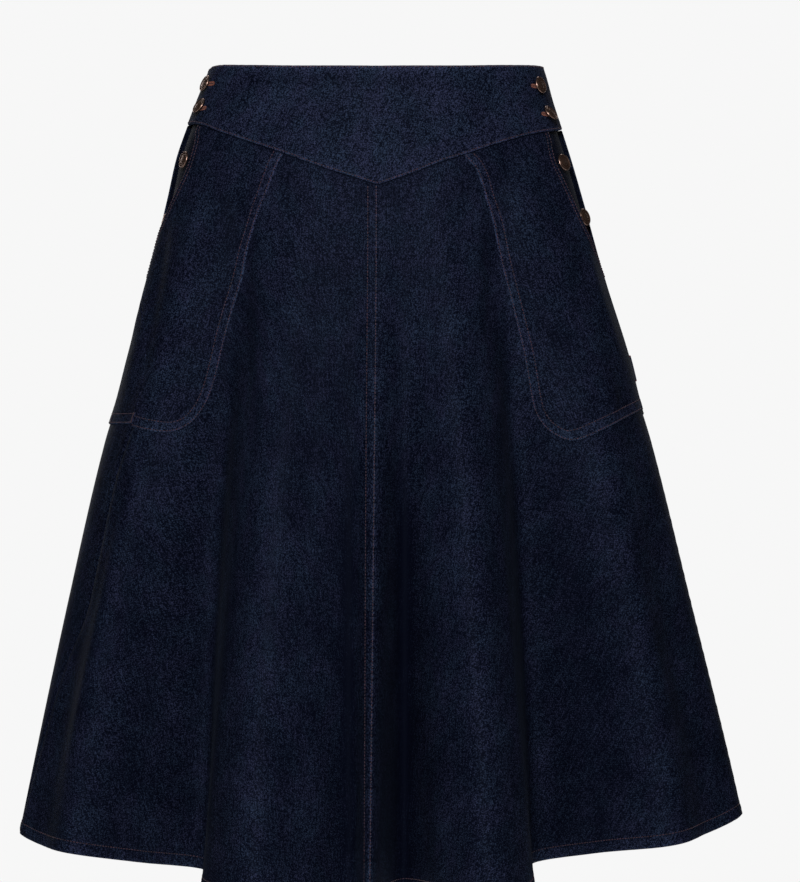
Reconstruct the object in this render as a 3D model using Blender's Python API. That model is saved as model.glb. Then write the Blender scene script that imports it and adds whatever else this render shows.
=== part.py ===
"""A flared denim skirt with a pointed yoke, worn shape, hollow, open at the waist and at the hem.

Metres, +Z up. The wearer faces -Y and the wearer's left is +X. The origin is the middle of the
waist, level with its top at the sides. Heights are given as drops below that level.

The cloth follows one surface, skirt_point(around, drop). "around" is an angle in degrees: 0 at the
centre front, 90 at the wearer's left, -90 at the wearer's right and 180 at the centre back.
"""

import math

import bmesh
import bpy
import numpy as np
from mathutils import Matrix, Vector

MM = 0.001

# ---------------------------------------------------------------- driving dimensions
SEAM_GAP = 0.3 * MM  # between pieces at a seam and between layers
PANEL_THICK = 1.2 * MM
YOKE_PROUD = 1.9 * MM  # the yoke's face over the panels' face
YOKE_THICK = 2.7 * MM
POCKET_THICK = 1.2 * MM
STAND_DEPTH, STAND_THICK = 2.6 * MM, 1.2 * MM  # the stand's face lies that deep under the panels'
STAND_RISE = 0.3 * MM  # its depth where it comes up beside the back panel's edge
STAND_TUCK = 1.8 * MM  # and its depth under the back panel
STAND_UNDER = 12 * MM  # how far it goes on under the front panel
STAND_UNDER_BACK = 8.5 * MM  # and under the back panel
STAND_TOP, STAND_END = 40 * MM, 185 * MM
LAP_WIDTH = 8 * MM  # the stitched strip beside the centre front seam
LAP_PROUD = 0.8 * MM
HEM_TURN = 12 * MM  # height of the turned up hem
HEM_STEP = 1.0 * MM  # over which it sets in
HEM_EXTRA = 1.0 * MM  # its second layer, inside
EDGE_ROUND = 0.5 * MM  # how far the yoke's faces draw in at its edges
MOUTH_LIFT = (1.5 * MM, 3.5 * MM)  # how far the right and the left side opening stand off the stand
MOUTH_REACH = 14 * MM  # how far from its edge that lift is felt
BUTTON_DIAMETER = 14 * MM
BUTTON_SIDES = 16
BUTTON_SAG = 0.3 * MM  # room for the cloth's curve under the shank

# The smooth form without folds: half widths to each side, and depths to front and back, in mm.
FORM = [
    # drop  right    left   front  back
    (0,     134.7, 132.5,  81.0,  83.0),
    (12,    139.3, 136.2,  82.5,  85.0),
    (27,    145.4, 140.2,  84.5,  88.5),
    (50,    154.2, 147.6,  88.5,  95.0),
    (75,    162.7, 155.6,  93.0, 103.0),
    (108,   170.1, 165.2,  98.0, 112.0),
    (173,   186.0, 183.2, 107.0, 124.0),
    (238,   203.0, 203.4, 116.0, 133.0),
    (270,   211.0, 211.2, 121.0, 137.0),
    (304,   221.3, 221.3, 126.0, 141.0),
    (434,   250.6, 253.0, 146.0, 156.0),
    (564,   277.4, 284.4, 163.0, 171.0),
    (660,   296.5, 305.5, 176.0, 182.0),
]

# Folds: each row is a line that runs down the cloth at the angle "at". It reaches the hem at
# (x, y, drop) in mm, and leaves the smooth form from the drop "from" on.
FOLDS = [
    # name                    at     x     y  drop  from
    ("centre front ridge",     0,   -5, -180,  660,  150),
    ("left front valley",      7,   22, -104,  658,  110),
    ("left front rise",       12,   52, -165,  656,   90),
    ("left front crest",      17,   85, -200,  655,   90),
    ("left front shoulder",   23,  120, -160,  654,   80),
    ("left front wall",       28,  122, -110,  646,   75),
    ("left side valley",      34,  125,  -30,  645,   65),
    ("left side slope",       43,  172,  -56,  634,  100),
    ("left side crest",       53,  226,  -92,  625,  130),
    ("left side shoulder",    70,  265,  -50,  618,  200),
    ("left side",             90,  295,    0,  607,  150),
    ("back left shoulder",   104,  266,   58,  614,  200),
    ("back left valley",     120,  206,   98,  624,  150),
    ("back left rise",       134,  162,  148,  632,  150),
    ("back left crest",      147,  122,  194,  640,  150),
    ("back left slope",      158,   80,  182,  642,  150),
    ("back left dip",        169,   42,  158,  643,  150),
    ("centre back ridge",    180,    0,  172,  644,  150),
    ("back right dip",      -169,  -46,  161,  643,  150),
    ("back right slope",    -158,  -86,  185,  643,  150),
    ("back right crest",    -147, -130,  190,  642,  150),
    ("back right rise",     -134, -172,  140,  635,  150),
    ("back right valley",   -120, -212,   90,  629,  150),
    ("back right shoulder", -104, -262,   52,  625,  200),
    ("right side",           -90, -290,    0,  621,  150),
    ("right side shoulder",  -71, -270,  -48,  628,  180),
    ("right side crest",     -56, -238,  -92,  631,  120),
    ("right side slope",     -46, -190,  -57,  641,   90),
    ("right side valley",    -38, -140,  -30,  650,   60),
    ("right front wall",     -32, -137, -110,  651,   65),
    ("right front shoulder", -27, -134, -160,  653,   75),
    ("right front crest",    -21, -103, -204,  656,   90),
    ("right front slope",    -13,  -57, -178,  658,   95),
    ("right front valley",    -6,  -21, -142,  660,  110),
]

# Lines around the skirt, each first down the wearer's right side and then down the left side: the
# drop in mm at each angle from the centre front.
WAIST_SIDE = [(0, 6.5), (25, 5.6), (50, 3.2), (75, 0.8), (90, 0), (130, 0), (180, 1)]
WAIST_EDGE = (WAIST_SIDE, WAIST_SIDE)
YOKE_SEAM = (
    [(0, 102.8), (7.3, 96.4), (16, 88.2), (27, 78.3), (43.7, 65.1), (55, 57), (65.5, 51), (77, 48),
     (90, 47.5), (104, 48.5), (120, 53.5), (140, 64), (160, 79), (180, 93)],
    [(0, 102.8), (6.3, 97.6), (11.4, 93.2), (25, 79.3), (37, 69), (54.7, 60.1), (66, 56.5),
     (78.3, 53.4), (90, 51.5), (104, 50.5), (120, 53), (140, 64), (160, 79), (180, 93)],
)

# The front panels' side edges, as angles: first the slanted mouth, then the side seam.
LEFT_EDGE = [(0, 65.5), (54, 65.5), (62, 65.3), (71, 63.8), (81, 63.1), (92, 64.6), (102, 66.3),
             (111.5, 68), (122, 70.2), (132, 72.5), (142, 75.8), (151, 80.3), (165, 86),
             (175, 89.5), (260, 90), (700, 90)]
RIGHT_EDGE = [(0, 69.3), (54, 69.3), (62.5, 67.1), (70.7, 66.1), (78.7, 66.2), (89, 67.6),
              (100, 70.5), (111, 73.9), (124, 78.9), (135, 84), (150, 88), (175, 88.5), (215, 72),
              (239, 67.2), (262, 64.7), (284, 64), (300, 64.6), (335, 67.3), (431, 68.4),
              (496, 77), (560, 81.5), (622, 86), (700, 88)]
MOUTH_FROM, MOUTH_TO = 50 * MM, 165 * MM

# The pockets' edges as seen from the front or the back: distance from the middle and drop in mm,
# from the yoke down the inner edge, round the corner and out to the side.
LEFT_POCKET = [(56, 60), (68.5, 78), (77.3, 88), (84.5, 106.5), (90.9, 128.5), (98, 162),
               (107.5, 198), (115.7, 231.5), (119.6, 252), (122.3, 268), (126.7, 283),
               (136, 295.5), (149, 303), (158, 303.6), (170, 299.8), (196, 287), (213, 279),
               (240, 267)]
RIGHT_POCKET = [(62, 58), (76, 79), (82.7, 94.7), (88, 109), (93.5, 122), (98.8, 137),
                (103.5, 155), (108.3, 176.5), (114, 196), (119.8, 216), (125.8, 240),
                (130, 256), (136, 272), (144.7, 285.5), (154, 293.2), (167.5, 297.3),
                (186, 295.3), (200, 292), (240, 288)]
LEFT_BACK_POCKET = [(56, 55), (68, 74), (84, 95), (93, 120), (100, 150), (109, 190), (118, 230),
                    (127, 262), (136, 282), (147, 295), (160, 299), (185, 295), (205, 286),
                    (240, 275)]
RIGHT_BACK_POCKET = [(56, 55), (68, 74), (84, 95), (93, 120), (100, 150), (109, 190), (118, 230),
                     (127, 262), (136, 282), (147, 295), (160, 299), (182, 297), (197, 289.5),
                     (214, 285), (240, 280)]

# The buttons: drop in mm, angle, and how far each is turned to the front and tipped up, in degrees.
BUTTONS = [
    # side     number drop  angle turn  tip
    ("left",    1,    18.5,   67.5,   0,   2),
    ("left",    2,    42.0,   68.8,   2,  22),
    ("left",    3,    79.3,   73.5,  14,   3),
    ("left",    4,   123.0,   80.8,  20,   0),
    ("right",   1,    16.8,  -74.5,   0,   3),
    ("right",   2,    35.5,  -71.0,   0,  14),
    ("right",   3,    77.0,  -73.5,   0,   0),
    ("right",   4,   126.5,  -85.5,   0,   0),
]

TAB_TOP, TAB_HEIGHT, TAB_LENGTH, TAB_THICK = 235 * MM, 21 * MM, 9 * MM, 1.2 * MM
TAB_AT, TAB_LEAN = 90.6, 5  # the angle where it starts, and its lean off the cloth, in degrees


# ---------------------------------------------------------------- the skirt's surface
def smooth_through(table, column, value):
    """One column of a table against its first, on a curve without overshoot."""
    xs = np.array([row[0] for row in table], float)
    ys = np.array([row[column] for row in table], float)
    return monotone(xs, ys, np.asarray(value, float))


def monotone(xs, ys, at):
    """A monotone cubic through the points (xs, ys), held level outside them."""
    width = np.diff(xs)
    slope = np.diff(ys) / width
    tangent = np.zeros(len(xs))
    same = slope[:-1] * slope[1:] > 0
    harmonic = 2 * slope[:-1] * slope[1:] / np.where(same, slope[:-1] + slope[1:], 1)
    tangent[1:-1] = np.where(same, harmonic, 0)
    tangent[0], tangent[-1] = slope[0], slope[-1]
    at = np.clip(at, xs[0], xs[-1])
    i = np.clip(np.searchsorted(xs, at, side="right") - 1, 0, len(xs) - 2)
    t = (at - xs[i]) / width[i]
    return (
        (1 + 2 * t) * (1 - t) ** 2 * ys[i]
        + t * (1 - t) ** 2 * width[i] * tangent[i]
        + t * t * (3 - 2 * t) * ys[i + 1]
        + t * t * (t - 1) * width[i] * tangent[i + 1]
    )


def form_radii(drop, around):
    """The half width and the depth of the smooth form on the side that the angle is on."""
    mm = drop / MM
    right, left, front, back = (smooth_through(FORM, k, mm) * MM for k in (1, 2, 3, 4))
    sideways = np.where(np.sin(np.radians(around)) < 0, right, left)
    deep = np.where(np.cos(np.radians(around)) > 0, front, back)
    return sideways, deep


def form_point(around, drop):
    """The point of the smooth form without folds."""
    wide, deep = form_radii(drop, around)
    turn = np.radians(around)
    return np.array([wide * np.sin(turn), -deep * np.cos(turn), 0 * turn - drop])


def fold_at_hem(row):
    """A fold's angle, how far it moves the cloth at the hem, and its drops."""
    _, around, x, y, drop, start = row
    plain = form_point(around, drop * MM)
    return around, x * MM - plain[0], y * MM - plain[1], drop * MM, start * MM


SORTED_FOLDS = sorted((fold_at_hem(row) for row in FOLDS), key=lambda fold: fold[0])
FOLD_AT, FOLD_X, FOLD_Y, HEM_DROP, START = (np.array(column) for column in zip(*SORTED_FOLDS))
FOLD_BLEND = 0.16  # how softly a fold begins


def ring_value(around, values):
    """A smooth curve round the ring through one value for each fold."""
    around = (np.asarray(around, float) + 180) % 360 - 180
    xs = np.concatenate([FOLD_AT[-3:] - 360, FOLD_AT, FOLD_AT[:3] + 360])
    ys = np.concatenate([values[-3:], values, values[:3]])
    width = np.diff(xs)
    slope = np.diff(ys) / width
    tangent = np.zeros(len(xs))
    tangent[1:-1] = (slope[:-1] * width[1:] + slope[1:] * width[:-1]) / (width[:-1] + width[1:])
    i = np.clip(np.searchsorted(xs, around, side="right") - 1, 1, len(xs) - 3)
    t = (around - xs[i]) / width[i]
    return (
        (1 + 2 * t) * (1 - t) ** 2 * ys[i]
        + t * (1 - t) ** 2 * width[i] * tangent[i]
        + t * t * (3 - 2 * t) * ys[i + 1]
        + t * t * (t - 1) * width[i] * tangent[i + 1]
    )


def hem_drop(around):
    """The drop of the hem at an angle."""
    return ring_value(around, HEM_DROP)


def skirt_point(around, drop):
    """The point of the panels' face at an angle and a drop."""
    grown = np.clip((drop - START) / (HEM_DROP - START), 0, 1.05)
    grown = grown * grown / (grown + FOLD_BLEND) * (1 + FOLD_BLEND)
    point = form_point(around, drop)
    point[0] += ring_value(around, FOLD_X * grown)
    point[1] += ring_value(around, FOLD_Y * grown)
    return point


def outward(around, drop):
    """The unit normal of the face, pointing away from the wearer."""
    step, rise = 1.0, 4 * MM
    across = skirt_point(around + step, drop) - skirt_point(around - step, drop)
    along = skirt_point(around, drop - rise) - skirt_point(around, drop + rise)
    normal = np.cross(across, along)
    return normal / np.linalg.norm(normal)


def mouth_lift(around, drop):
    """How far the face stands off beside the slanted mouth."""
    edge = side_edge(around, drop)
    wide, deep = form_radii(drop, around)
    a, b = math.radians(around), math.radians(edge)
    gap = math.hypot(wide * (math.sin(a) - math.sin(b)), deep * (math.cos(a) - math.cos(b)))
    middle = (drop - MOUTH_FROM) / (MOUTH_TO - MOUTH_FROM)
    if not 0 < middle < 1 or abs(around) > abs(edge) + 1:
        return 0.0
    lift = MOUTH_LIFT[around > 0]
    return lift * math.sin(math.pi * middle) * math.exp(-((gap / MOUTH_REACH) ** 2))


def side_edge(around, drop):
    """The angle of the front panel's side edge, on the side that the angle is on."""
    table = RIGHT_EDGE if around < 0 else LEFT_EDGE
    sign = -1 if around < 0 else 1
    return sign * float(smooth_through(table, 1, drop / MM))


def on_skirt(around, drop, off):
    """A point at a height off the panels' face."""
    return skirt_point(around, drop) + outward(around, drop) * off


def line_drop(line, around):
    """The drop of a line around the skirt, at an angle."""
    folded = (around + 180) % 360 - 180
    return float(smooth_through(line[folded > 0], 1, abs(folded))) * MM


# ---------------------------------------------------------------- closed walls from grids
def material(name, colour, roughness, metallic=0.0):
    made = bpy.data.materials.new(name)
    made.use_nodes = True
    shader = made.node_tree.nodes["Principled BSDF"]
    shader.inputs["Base Color"].default_value = (*colour, 1)
    shader.inputs["Roughness"].default_value = roughness
    shader.inputs["Metallic"].default_value = metallic
    return made


def add_object(name, points, faces, made_of, smooth=True):
    mesh = bpy.data.meshes.new(name)
    mesh.from_pydata([tuple(p) for p in points], [], faces)
    mesh.materials.append(made_of)
    tidy = bmesh.new()
    tidy.from_mesh(mesh)
    bmesh.ops.recalc_face_normals(tidy, faces=tidy.faces)
    tidy.to_mesh(mesh)
    tidy.free()
    if smooth:
        mesh.shade_smooth()
        mesh.set_sharp_from_angle(angle=math.radians(60))
    made = bpy.data.objects.new(name, mesh)
    bpy.context.scene.collection.objects.link(made)
    return made


def wall(name, outer, inner, made_of):
    """A closed wall between two grids of points, rows by columns, with a rim all round."""
    rows, columns = len(outer), len(outer[0])
    points = [p for row in outer for p in row] + [p for row in inner for p in row]
    back = rows * columns

    def at(row, column, layer=0):
        return layer * back + row * columns + column

    faces = []
    for i in range(rows - 1):
        for j in range(columns - 1):
            a, b, c, d = at(i, j), at(i, j + 1), at(i + 1, j + 1), at(i + 1, j)
            for face in ((a, b, c), (a, c, d)):
                faces.append(face)
                faces.append([p + back for p in reversed(face)])
    rim = [(0, j) for j in range(columns)] + [(i, columns - 1) for i in range(1, rows)]
    rim += [(rows - 1, j) for j in range(columns - 2, -1, -1)] + [(i, 0) for i in range(rows - 2, 0, -1)]
    for (i, j), (k, m) in zip(rim, rim[1:] + rim[:1]):
        faces.append([at(k, m), at(i, j), at(i, j, 1), at(k, m, 1)])
    return add_object(name, points, faces, made_of)


# ---------------------------------------------------------------- clear the scene
for old in list(bpy.data.objects):
    bpy.data.objects.remove(old)

DENIM = material("dark denim", (0.011, 0.016, 0.036), 0.88)
DENIM_YOKE = material("dark denim, yoke", (0.013, 0.019, 0.042), 0.88)
BRONZE = material("old bronze", (0.16, 0.095, 0.07), 0.42, 0.9)
TAB_CLOTH = material("tab cloth", (0.02, 0.012, 0.02), 0.8)


# ---------------------------------------------------------------- yoke
YOKE_ROWS = (0.0, 0.06, 0.5, 0.94, 1.0)  # shares of the way from the waist's edge to the yoke seam
SIDE_HALF_GAP = 0.07  # degrees, about half a seam gap at the sides
YOKE_END = 90 - SIDE_HALF_GAP


def yoke(name, angles):
    """A band from the waist's edge to the yoke seam, double cloth, over the panels' face."""
    outer, inner = [], []
    for share in YOKE_ROWS:
        outer.append([])
        inner.append([])
        for around in angles:
            top, bottom = line_drop(WAIST_EDGE, around), line_drop(YOKE_SEAM, around)
            drop = top + (bottom - top) * share
            rounded = EDGE_ROUND if share in (0.0, 1.0) else 0.0
            outer[-1].append(on_skirt(around, drop, YOKE_PROUD - rounded))
            inner[-1].append(on_skirt(around, drop, YOKE_PROUD - YOKE_THICK + rounded))
    return wall(name, outer, inner, DENIM_YOKE)


def spread(start, stop, count):
    return [start + (stop - start) * k / (count - 1) for k in range(count)]


yoke("front_yoke", spread(-YOKE_END, YOKE_END, 41))
yoke("back_yoke", spread(180 - YOKE_END, 180 + YOKE_END, 37))


# ---------------------------------------------------------------- panels
HIP = 300 * MM  # where the columns of a panel are counted
PANEL_ROWS = (0.0, 0.03, 0.07, 0.12, 0.17, 0.2, 0.23, 0.3, 0.38, 0.46, 0.54, 0.62, 0.7, 0.78, 0.86,
              0.93)
HEM_ROWS = (HEM_TURN, HEM_TURN - HEM_STEP, 0)  # heights over the hem's edge
SIDE_DEPTH = 0.6  # the form's depth over its half width, at the sides
EDGE_PULL = 2.6  # how fast the columns give way to a side edge that moves


def panel(name, stations, top_of, lap=()):
    """A flared panel, from the columns' angles and its top line. Returns its points' places."""
    places = []
    for row in range(len(PANEL_ROWS) + len(HEM_ROWS)):
        places.append([])
        for column in range(len(stations(HIP))):
            around, drop = panel_place(stations, top_of, column, row)
            raised = mouth_lift(around, drop) + (LAP_PROUD if column in lap else 0)
            places[-1].append((around, drop, raised))
    outer = [[on_skirt(*place) for place in row] for row in places]
    inner = []
    for k, row in enumerate(places):
        thick = PANEL_THICK + (HEM_EXTRA if k > len(PANEL_ROWS) else 0)
        inner.append([on_skirt(a, d, mouth_lift(a, d) - thick) for a, d, _ in row])
    wall(name, outer, inner, DENIM)
    return places


def panel_place(stations, top_of, column, row):
    """The angle and drop of one point of a panel: rows are shares of the way to the hem."""
    around = stations(HIP)[column]
    for _ in range(4):
        top, bottom = top_of(around), float(hem_drop(around))
        if row < len(PANEL_ROWS):
            drop = top + (bottom - HEM_TURN - top) * PANEL_ROWS[row]
        else:
            drop = bottom - HEM_ROWS[row - len(PANEL_ROWS)]
        around = stations(drop)[column]
    return around, drop


def below_yoke(around):
    return line_drop(YOKE_SEAM, around) + SEAM_GAP


def with_middles(knots):
    """The knots, and one more angle in the middle of each two."""
    fine = []
    for a, b in zip(knots, knots[1:]):
        fine += [a, (a + b) / 2]
    return fine + [knots[-1]]


def folds_between(low, high, sign):
    """The angles of one side's folds between two angles, going out from the lower one."""
    return sorted((float(at) for at in FOLD_AT if low < sign * at < high), key=abs)


def front_stations(sign):
    """Columns from the centre front to the side edge: on each fold line and between them."""
    picked = folds_between(1, 89, sign)

    def stations(drop):
        wide, _ = form_radii(drop, sign)
        seam = math.degrees(SEAM_GAP / 2 / wide)
        lap = math.degrees(LAP_WIDTH / wide)
        lapped = [sign * seam, sign * (seam + lap)] if sign < 0 else [sign * seam]
        rest = with_middles([sign * (seam + lap) * LAP_CLEAR, *picked, sign * 90.0])
        moved = [a + (side_edge(sign, drop) - sign * 90) * (a / (sign * 90)) ** EDGE_PULL for a in rest]
        moved[-1] -= sign * seam / SIDE_DEPTH
        return lapped + moved

    return stations


def back_stations(sign):
    """Columns from the side seam to the centre back."""
    picked = folds_between(91, 179, sign)

    def stations(drop):
        wide, _ = form_radii(drop, sign * 91)
        seam = math.degrees(SEAM_GAP / 2 / wide)
        edge = side_edge(sign, drop) if drop > MOUTH_TO else sign * 90.0
        start, end = sign * 90.0, sign * (180 - seam)
        moved = [a + (edge - start) * ((end - a) / (end - start)) ** EDGE_PULL
                 for a in with_middles([start, *picked, end])]
        moved[0] += sign * seam / SIDE_DEPTH
        return moved

    return stations


LAP_CLEAR = 1.02  # the first column beyond the lap, over the lap's own angle
FRONT_RIGHT = panel("front_panel_right", front_stations(-1), below_yoke, lap=(0, 1))
FRONT_LEFT = panel("front_panel_left", front_stations(1), below_yoke)
BACK_RIGHT = panel("back_panel_right", back_stations(-1), below_yoke)
BACK_LEFT = panel("back_panel_left", back_stations(1), below_yoke)


# ---------------------------------------------------------------- pockets
def rounded_path(points, steps=4):
    """A smooth line through points of a table, which it keeps."""
    points = np.array(points, float)
    ends = [2 * points[0] - points[1], *points, 2 * points[-1] - points[-2]]
    path = []
    for a, b, c, d in zip(ends, ends[1:], ends[2:], ends[3:]):
        for k in range(steps):
            t = k / steps
            path.append(0.5 * (2 * b + (c - a) * t + (2 * a - 5 * b + 4 * c - d) * t**2
                               + (3 * b - a - 3 * c + d) * t**3))
    return path + [points[-1]]


def pocket(name, places, sign, outline, reach):
    """A patch made from a panel's points, moved out, and cut to its outline."""
    rows = [row for row in places if row[-1][1] < POCKET_ROWS_TO]
    columns = [j for j, place in enumerate(rows[3]) if POCKET_FROM < abs(math.sin(math.radians(place[0])))]
    inner = [[on_skirt(a, d, r + SEAM_GAP) for a, d, r in (row[j] for j in columns)] for row in rows]
    outer = [[on_skirt(a, d, r + SEAM_GAP + POCKET_THICK) for a, d, r in (row[j] for j in columns)]
             for row in rows]
    made = wall(name, outer, inner, DENIM)
    path = [(sign * x * MM, -drop * MM) for x, drop in rounded_path(outline)]
    path += [(path[-1][0], path[0][1])]
    points = [(x, y, z) for y in reach for x, z in path]
    count = len(path)
    faces = [list(range(count)), list(range(2 * count - 1, count - 1, -1))]
    faces += [[k, k + count, (k + 1) % count + count, (k + 1) % count] for k in range(count)]
    cutter = add_object(name + "_outline", points, faces, DENIM, smooth=False)
    cutter.hide_render = True
    cutter.display_type = "WIRE"
    cut = made.modifiers.new("outline", "BOOLEAN")
    cut.operation = "INTERSECT"
    cut.object = cutter
    return made


POCKET_ROWS_TO = 370 * MM
POCKET_FROM = 0.28  # columns nearer the middle than this share of the width are left out of a patch
FRONT_REACH, BACK_REACH = (-350 * MM, 50 * MM), (-130 * MM, 350 * MM)  # the outlines' solids, in y
pocket("front_pocket_right", FRONT_RIGHT, -1, RIGHT_POCKET, FRONT_REACH)
pocket("front_pocket_left", FRONT_LEFT, 1, LEFT_POCKET, FRONT_REACH)
pocket("back_pocket_right", BACK_RIGHT, -1, RIGHT_BACK_POCKET, BACK_REACH)
pocket("back_pocket_left", BACK_LEFT, 1, LEFT_BACK_POCKET, BACK_REACH)


# ---------------------------------------------------------------- button stands
RISE_FROM, RISE_TO, TUCK_AT = 86.5, 89.3, 89.95  # angles
RISE_UNTIL, RISE_OUT = 120 * MM, 145 * MM  # the drops between which the rise dies out


def button_stand(name, sign):
    """The strip under the slanted side opening, from under the front panel to under the back."""
    outer, inner = [], []
    for drop in spread(STAND_TOP, STAND_END, 9):
        _, deep = form_radii(drop, sign)
        start = abs(side_edge(sign, drop)) - math.degrees(STAND_UNDER / deep)
        end = 90 + math.degrees(STAND_UNDER_BACK / deep)
        low = min(1.0, max(0.0, (drop - RISE_UNTIL) / (RISE_OUT - RISE_UNTIL)))
        rise, tuck = (depth + (STAND_DEPTH - depth) * low for depth in (STAND_RISE, STAND_TUCK))
        inside = [STAND_DEPTH] * 5 + [tuck] * 3
        outside = [STAND_DEPTH] * 5 + [rise] + [tuck] * 2
        outer.append([])
        inner.append([])
        for around, face, back in zip(spread(start, RISE_FROM, 5) + [RISE_TO, TUCK_AT, end], outside, inside):
            at = max(drop, below_yoke(around * sign))
            outer[-1].append(on_skirt(sign * around, at, -face))
            inner[-1].append(on_skirt(sign * around, at, -back - STAND_THICK))
    return wall(name, outer, inner, DENIM)


button_stand("button_stand_right", -1)
button_stand("button_stand_left", 1)


# ---------------------------------------------------------------- buttons
BUTTON_PROFILE = [
    # radius, height: shank, rim, hollow and dome, in mm
    (2.4, 0.0), (2.4, 1.7), (6.4, 1.8), (7.0, 2.3), (6.9, 2.8), (6.1, 3.2), (5.1, 2.9), (2.6, 3.5),
]
BUTTON_TOP = 3.7 * MM
CAP_UNDER = 1.8 * MM  # height of the cap's underside


def button_mesh():
    """A turned cap on a shank, standing along +Z."""
    points, faces = [(0, 0, 0)], []
    grow = BUTTON_DIAMETER / 2 / max(radius for radius, _ in BUTTON_PROFILE)
    for radius, height in BUTTON_PROFILE:
        for k in range(BUTTON_SIDES):
            turn = 2 * math.pi * k / BUTTON_SIDES
            points.append((radius * grow * math.cos(turn), radius * grow * math.sin(turn), height * MM))
    points.append((0, 0, BUTTON_TOP))
    for k in range(BUTTON_SIDES):
        n = (k + 1) % BUTTON_SIDES
        faces.append((0, 1 + n, 1 + k))
        for ring in range(len(BUTTON_PROFILE) - 1):
            low, high = 1 + ring * BUTTON_SIDES, 1 + (ring + 1) * BUTTON_SIDES
            faces.append((low + k, low + n, high + n, high + k))
        last = 1 + (len(BUTTON_PROFILE) - 1) * BUTTON_SIDES
        faces.append((last + k, last + n, len(points) - 1))
    return points, faces


def rest_button(side, number, drop, around, turn, tip):
    """Seats one button on the yoke or the stand, turned and tipped on its shank."""
    made = add_object(f"button_{side}_{number}", *button_mesh(), BRONZE)
    under = YOKE_PROUD if number < 3 else -STAND_DEPTH
    normal = Vector(outward(around, drop * MM))
    up = Vector((0, 0, 1))
    across = up.cross(normal).normalized()
    leaned = Matrix.Rotation(math.radians(-tip), 4, across) @ normal
    sideways = 1 if around > 0 else -1
    leaned = Matrix.Rotation(math.radians(-turn * sideways), 4, up) @ leaned
    lean = leaned.angle(normal)
    dip = BUTTON_DIAMETER / 2 * math.sin(lean) - CAP_UNDER * math.cos(lean)
    seat = Vector(on_skirt(around, drop * MM, under + SEAM_GAP + BUTTON_SAG + max(0, dip)))
    made.matrix_world = Matrix.Translation(seat) @ leaned.to_track_quat("Z", "Y").to_matrix().to_4x4()


for row in BUTTONS:
    rest_button(*row)


# ---------------------------------------------------------------- side tab
def side_tab():
    """A plain folded tab that stands out of the wearer's left side seam."""
    outer, inner = [], []
    root = SEAM_GAP * 2 + POCKET_THICK
    for drop in spread(TAB_TOP, TAB_TOP + TAB_HEIGHT, 4):
        outer.append([])
        inner.append([])
        _, deep = form_radii(drop, 91)
        for along in spread(0, TAB_LENGTH, 4):
            around = TAB_AT + math.degrees(along / deep)
            off = root + along * math.tan(math.radians(TAB_LEAN))
            outer[-1].append(on_skirt(around, drop, off + TAB_THICK))
            inner[-1].append(on_skirt(around, drop, off))
    return wall("side_tab", outer, inner, TAB_CLOTH)


side_tab()
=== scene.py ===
"""A flared denim skirt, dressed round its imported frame: fine cloth, stitching, buttons and tab.

Metres, +Z up. The wearer faces -Y and the wearer's left is +X. "around" is an angle in degrees: 0 at
the centre front, 90 at the wearer's left. "drop" is the height below the waist's top at the sides.
"""

import math

import bpy
import numpy as np
from mathutils import Matrix, Vector, geometry


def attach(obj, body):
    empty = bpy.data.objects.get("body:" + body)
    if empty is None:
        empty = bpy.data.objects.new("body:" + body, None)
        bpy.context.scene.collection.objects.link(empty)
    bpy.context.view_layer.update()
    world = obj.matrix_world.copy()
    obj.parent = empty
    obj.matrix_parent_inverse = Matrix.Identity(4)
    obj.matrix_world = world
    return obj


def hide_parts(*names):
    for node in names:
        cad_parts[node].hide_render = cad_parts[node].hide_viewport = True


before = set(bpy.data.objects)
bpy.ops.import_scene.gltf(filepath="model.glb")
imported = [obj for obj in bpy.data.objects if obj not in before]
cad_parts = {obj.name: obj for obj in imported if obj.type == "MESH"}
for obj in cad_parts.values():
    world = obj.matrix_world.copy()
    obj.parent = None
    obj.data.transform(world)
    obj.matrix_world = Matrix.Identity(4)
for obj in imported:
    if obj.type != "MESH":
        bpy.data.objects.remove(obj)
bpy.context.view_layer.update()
MM = 0.001

# ================================================================ camera
# Level with the hips, straight in front and a little to the wearer's left, as one stands before
# somebody to see a skirt.
CAMERA_AT = (0.0179, -3.2, -0.304)
CAMERA_LENS = 160.53


def placed(name, data):
    """A new object in the scene."""
    made = bpy.data.objects.new(name, data)
    bpy.context.scene.collection.objects.link(made)
    return made


camera = placed("camera", bpy.data.cameras.new("camera"))
camera.data.lens = CAMERA_LENS
camera.data.sensor_width = 36
camera.data.clip_end = 20
camera.location = CAMERA_AT
camera.rotation_euler = (math.pi / 2, 0, 0)
bpy.context.scene.camera = camera

# ================================================================ front and back panels
# Four flared pieces of 14 oz cotton denim, warp along the centre front. The wearer's right front laps
# over the left one in a felled, double stitched seam; side and back seams are plain; the hem is turned
# up twice and stitched.

# The smooth form without folds: half widths to each side, and depths to front and back, in mm.
FORM = [
    # drop  right    left   front  back
    (0,     134.7, 132.5,  81.0,  83.0),
    (12,    139.3, 136.2,  82.5,  85.0),
    (27,    145.4, 140.2,  84.5,  88.5),
    (50,    154.2, 147.6,  88.5,  95.0),
    (75,    162.7, 155.6,  93.0, 103.0),
    (108,   170.1, 165.2,  98.0, 112.0),
    (173,   186.0, 183.2, 107.0, 124.0),
    (238,   203.0, 203.4, 116.0, 133.0),
    (270,   211.0, 211.2, 121.0, 137.0),
    (304,   221.3, 221.3, 126.0, 141.0),
    (434,   250.6, 253.0, 146.0, 156.0),
    (564,   277.4, 284.4, 163.0, 171.0),
    (660,   296.5, 305.5, 176.0, 182.0),
]

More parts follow.
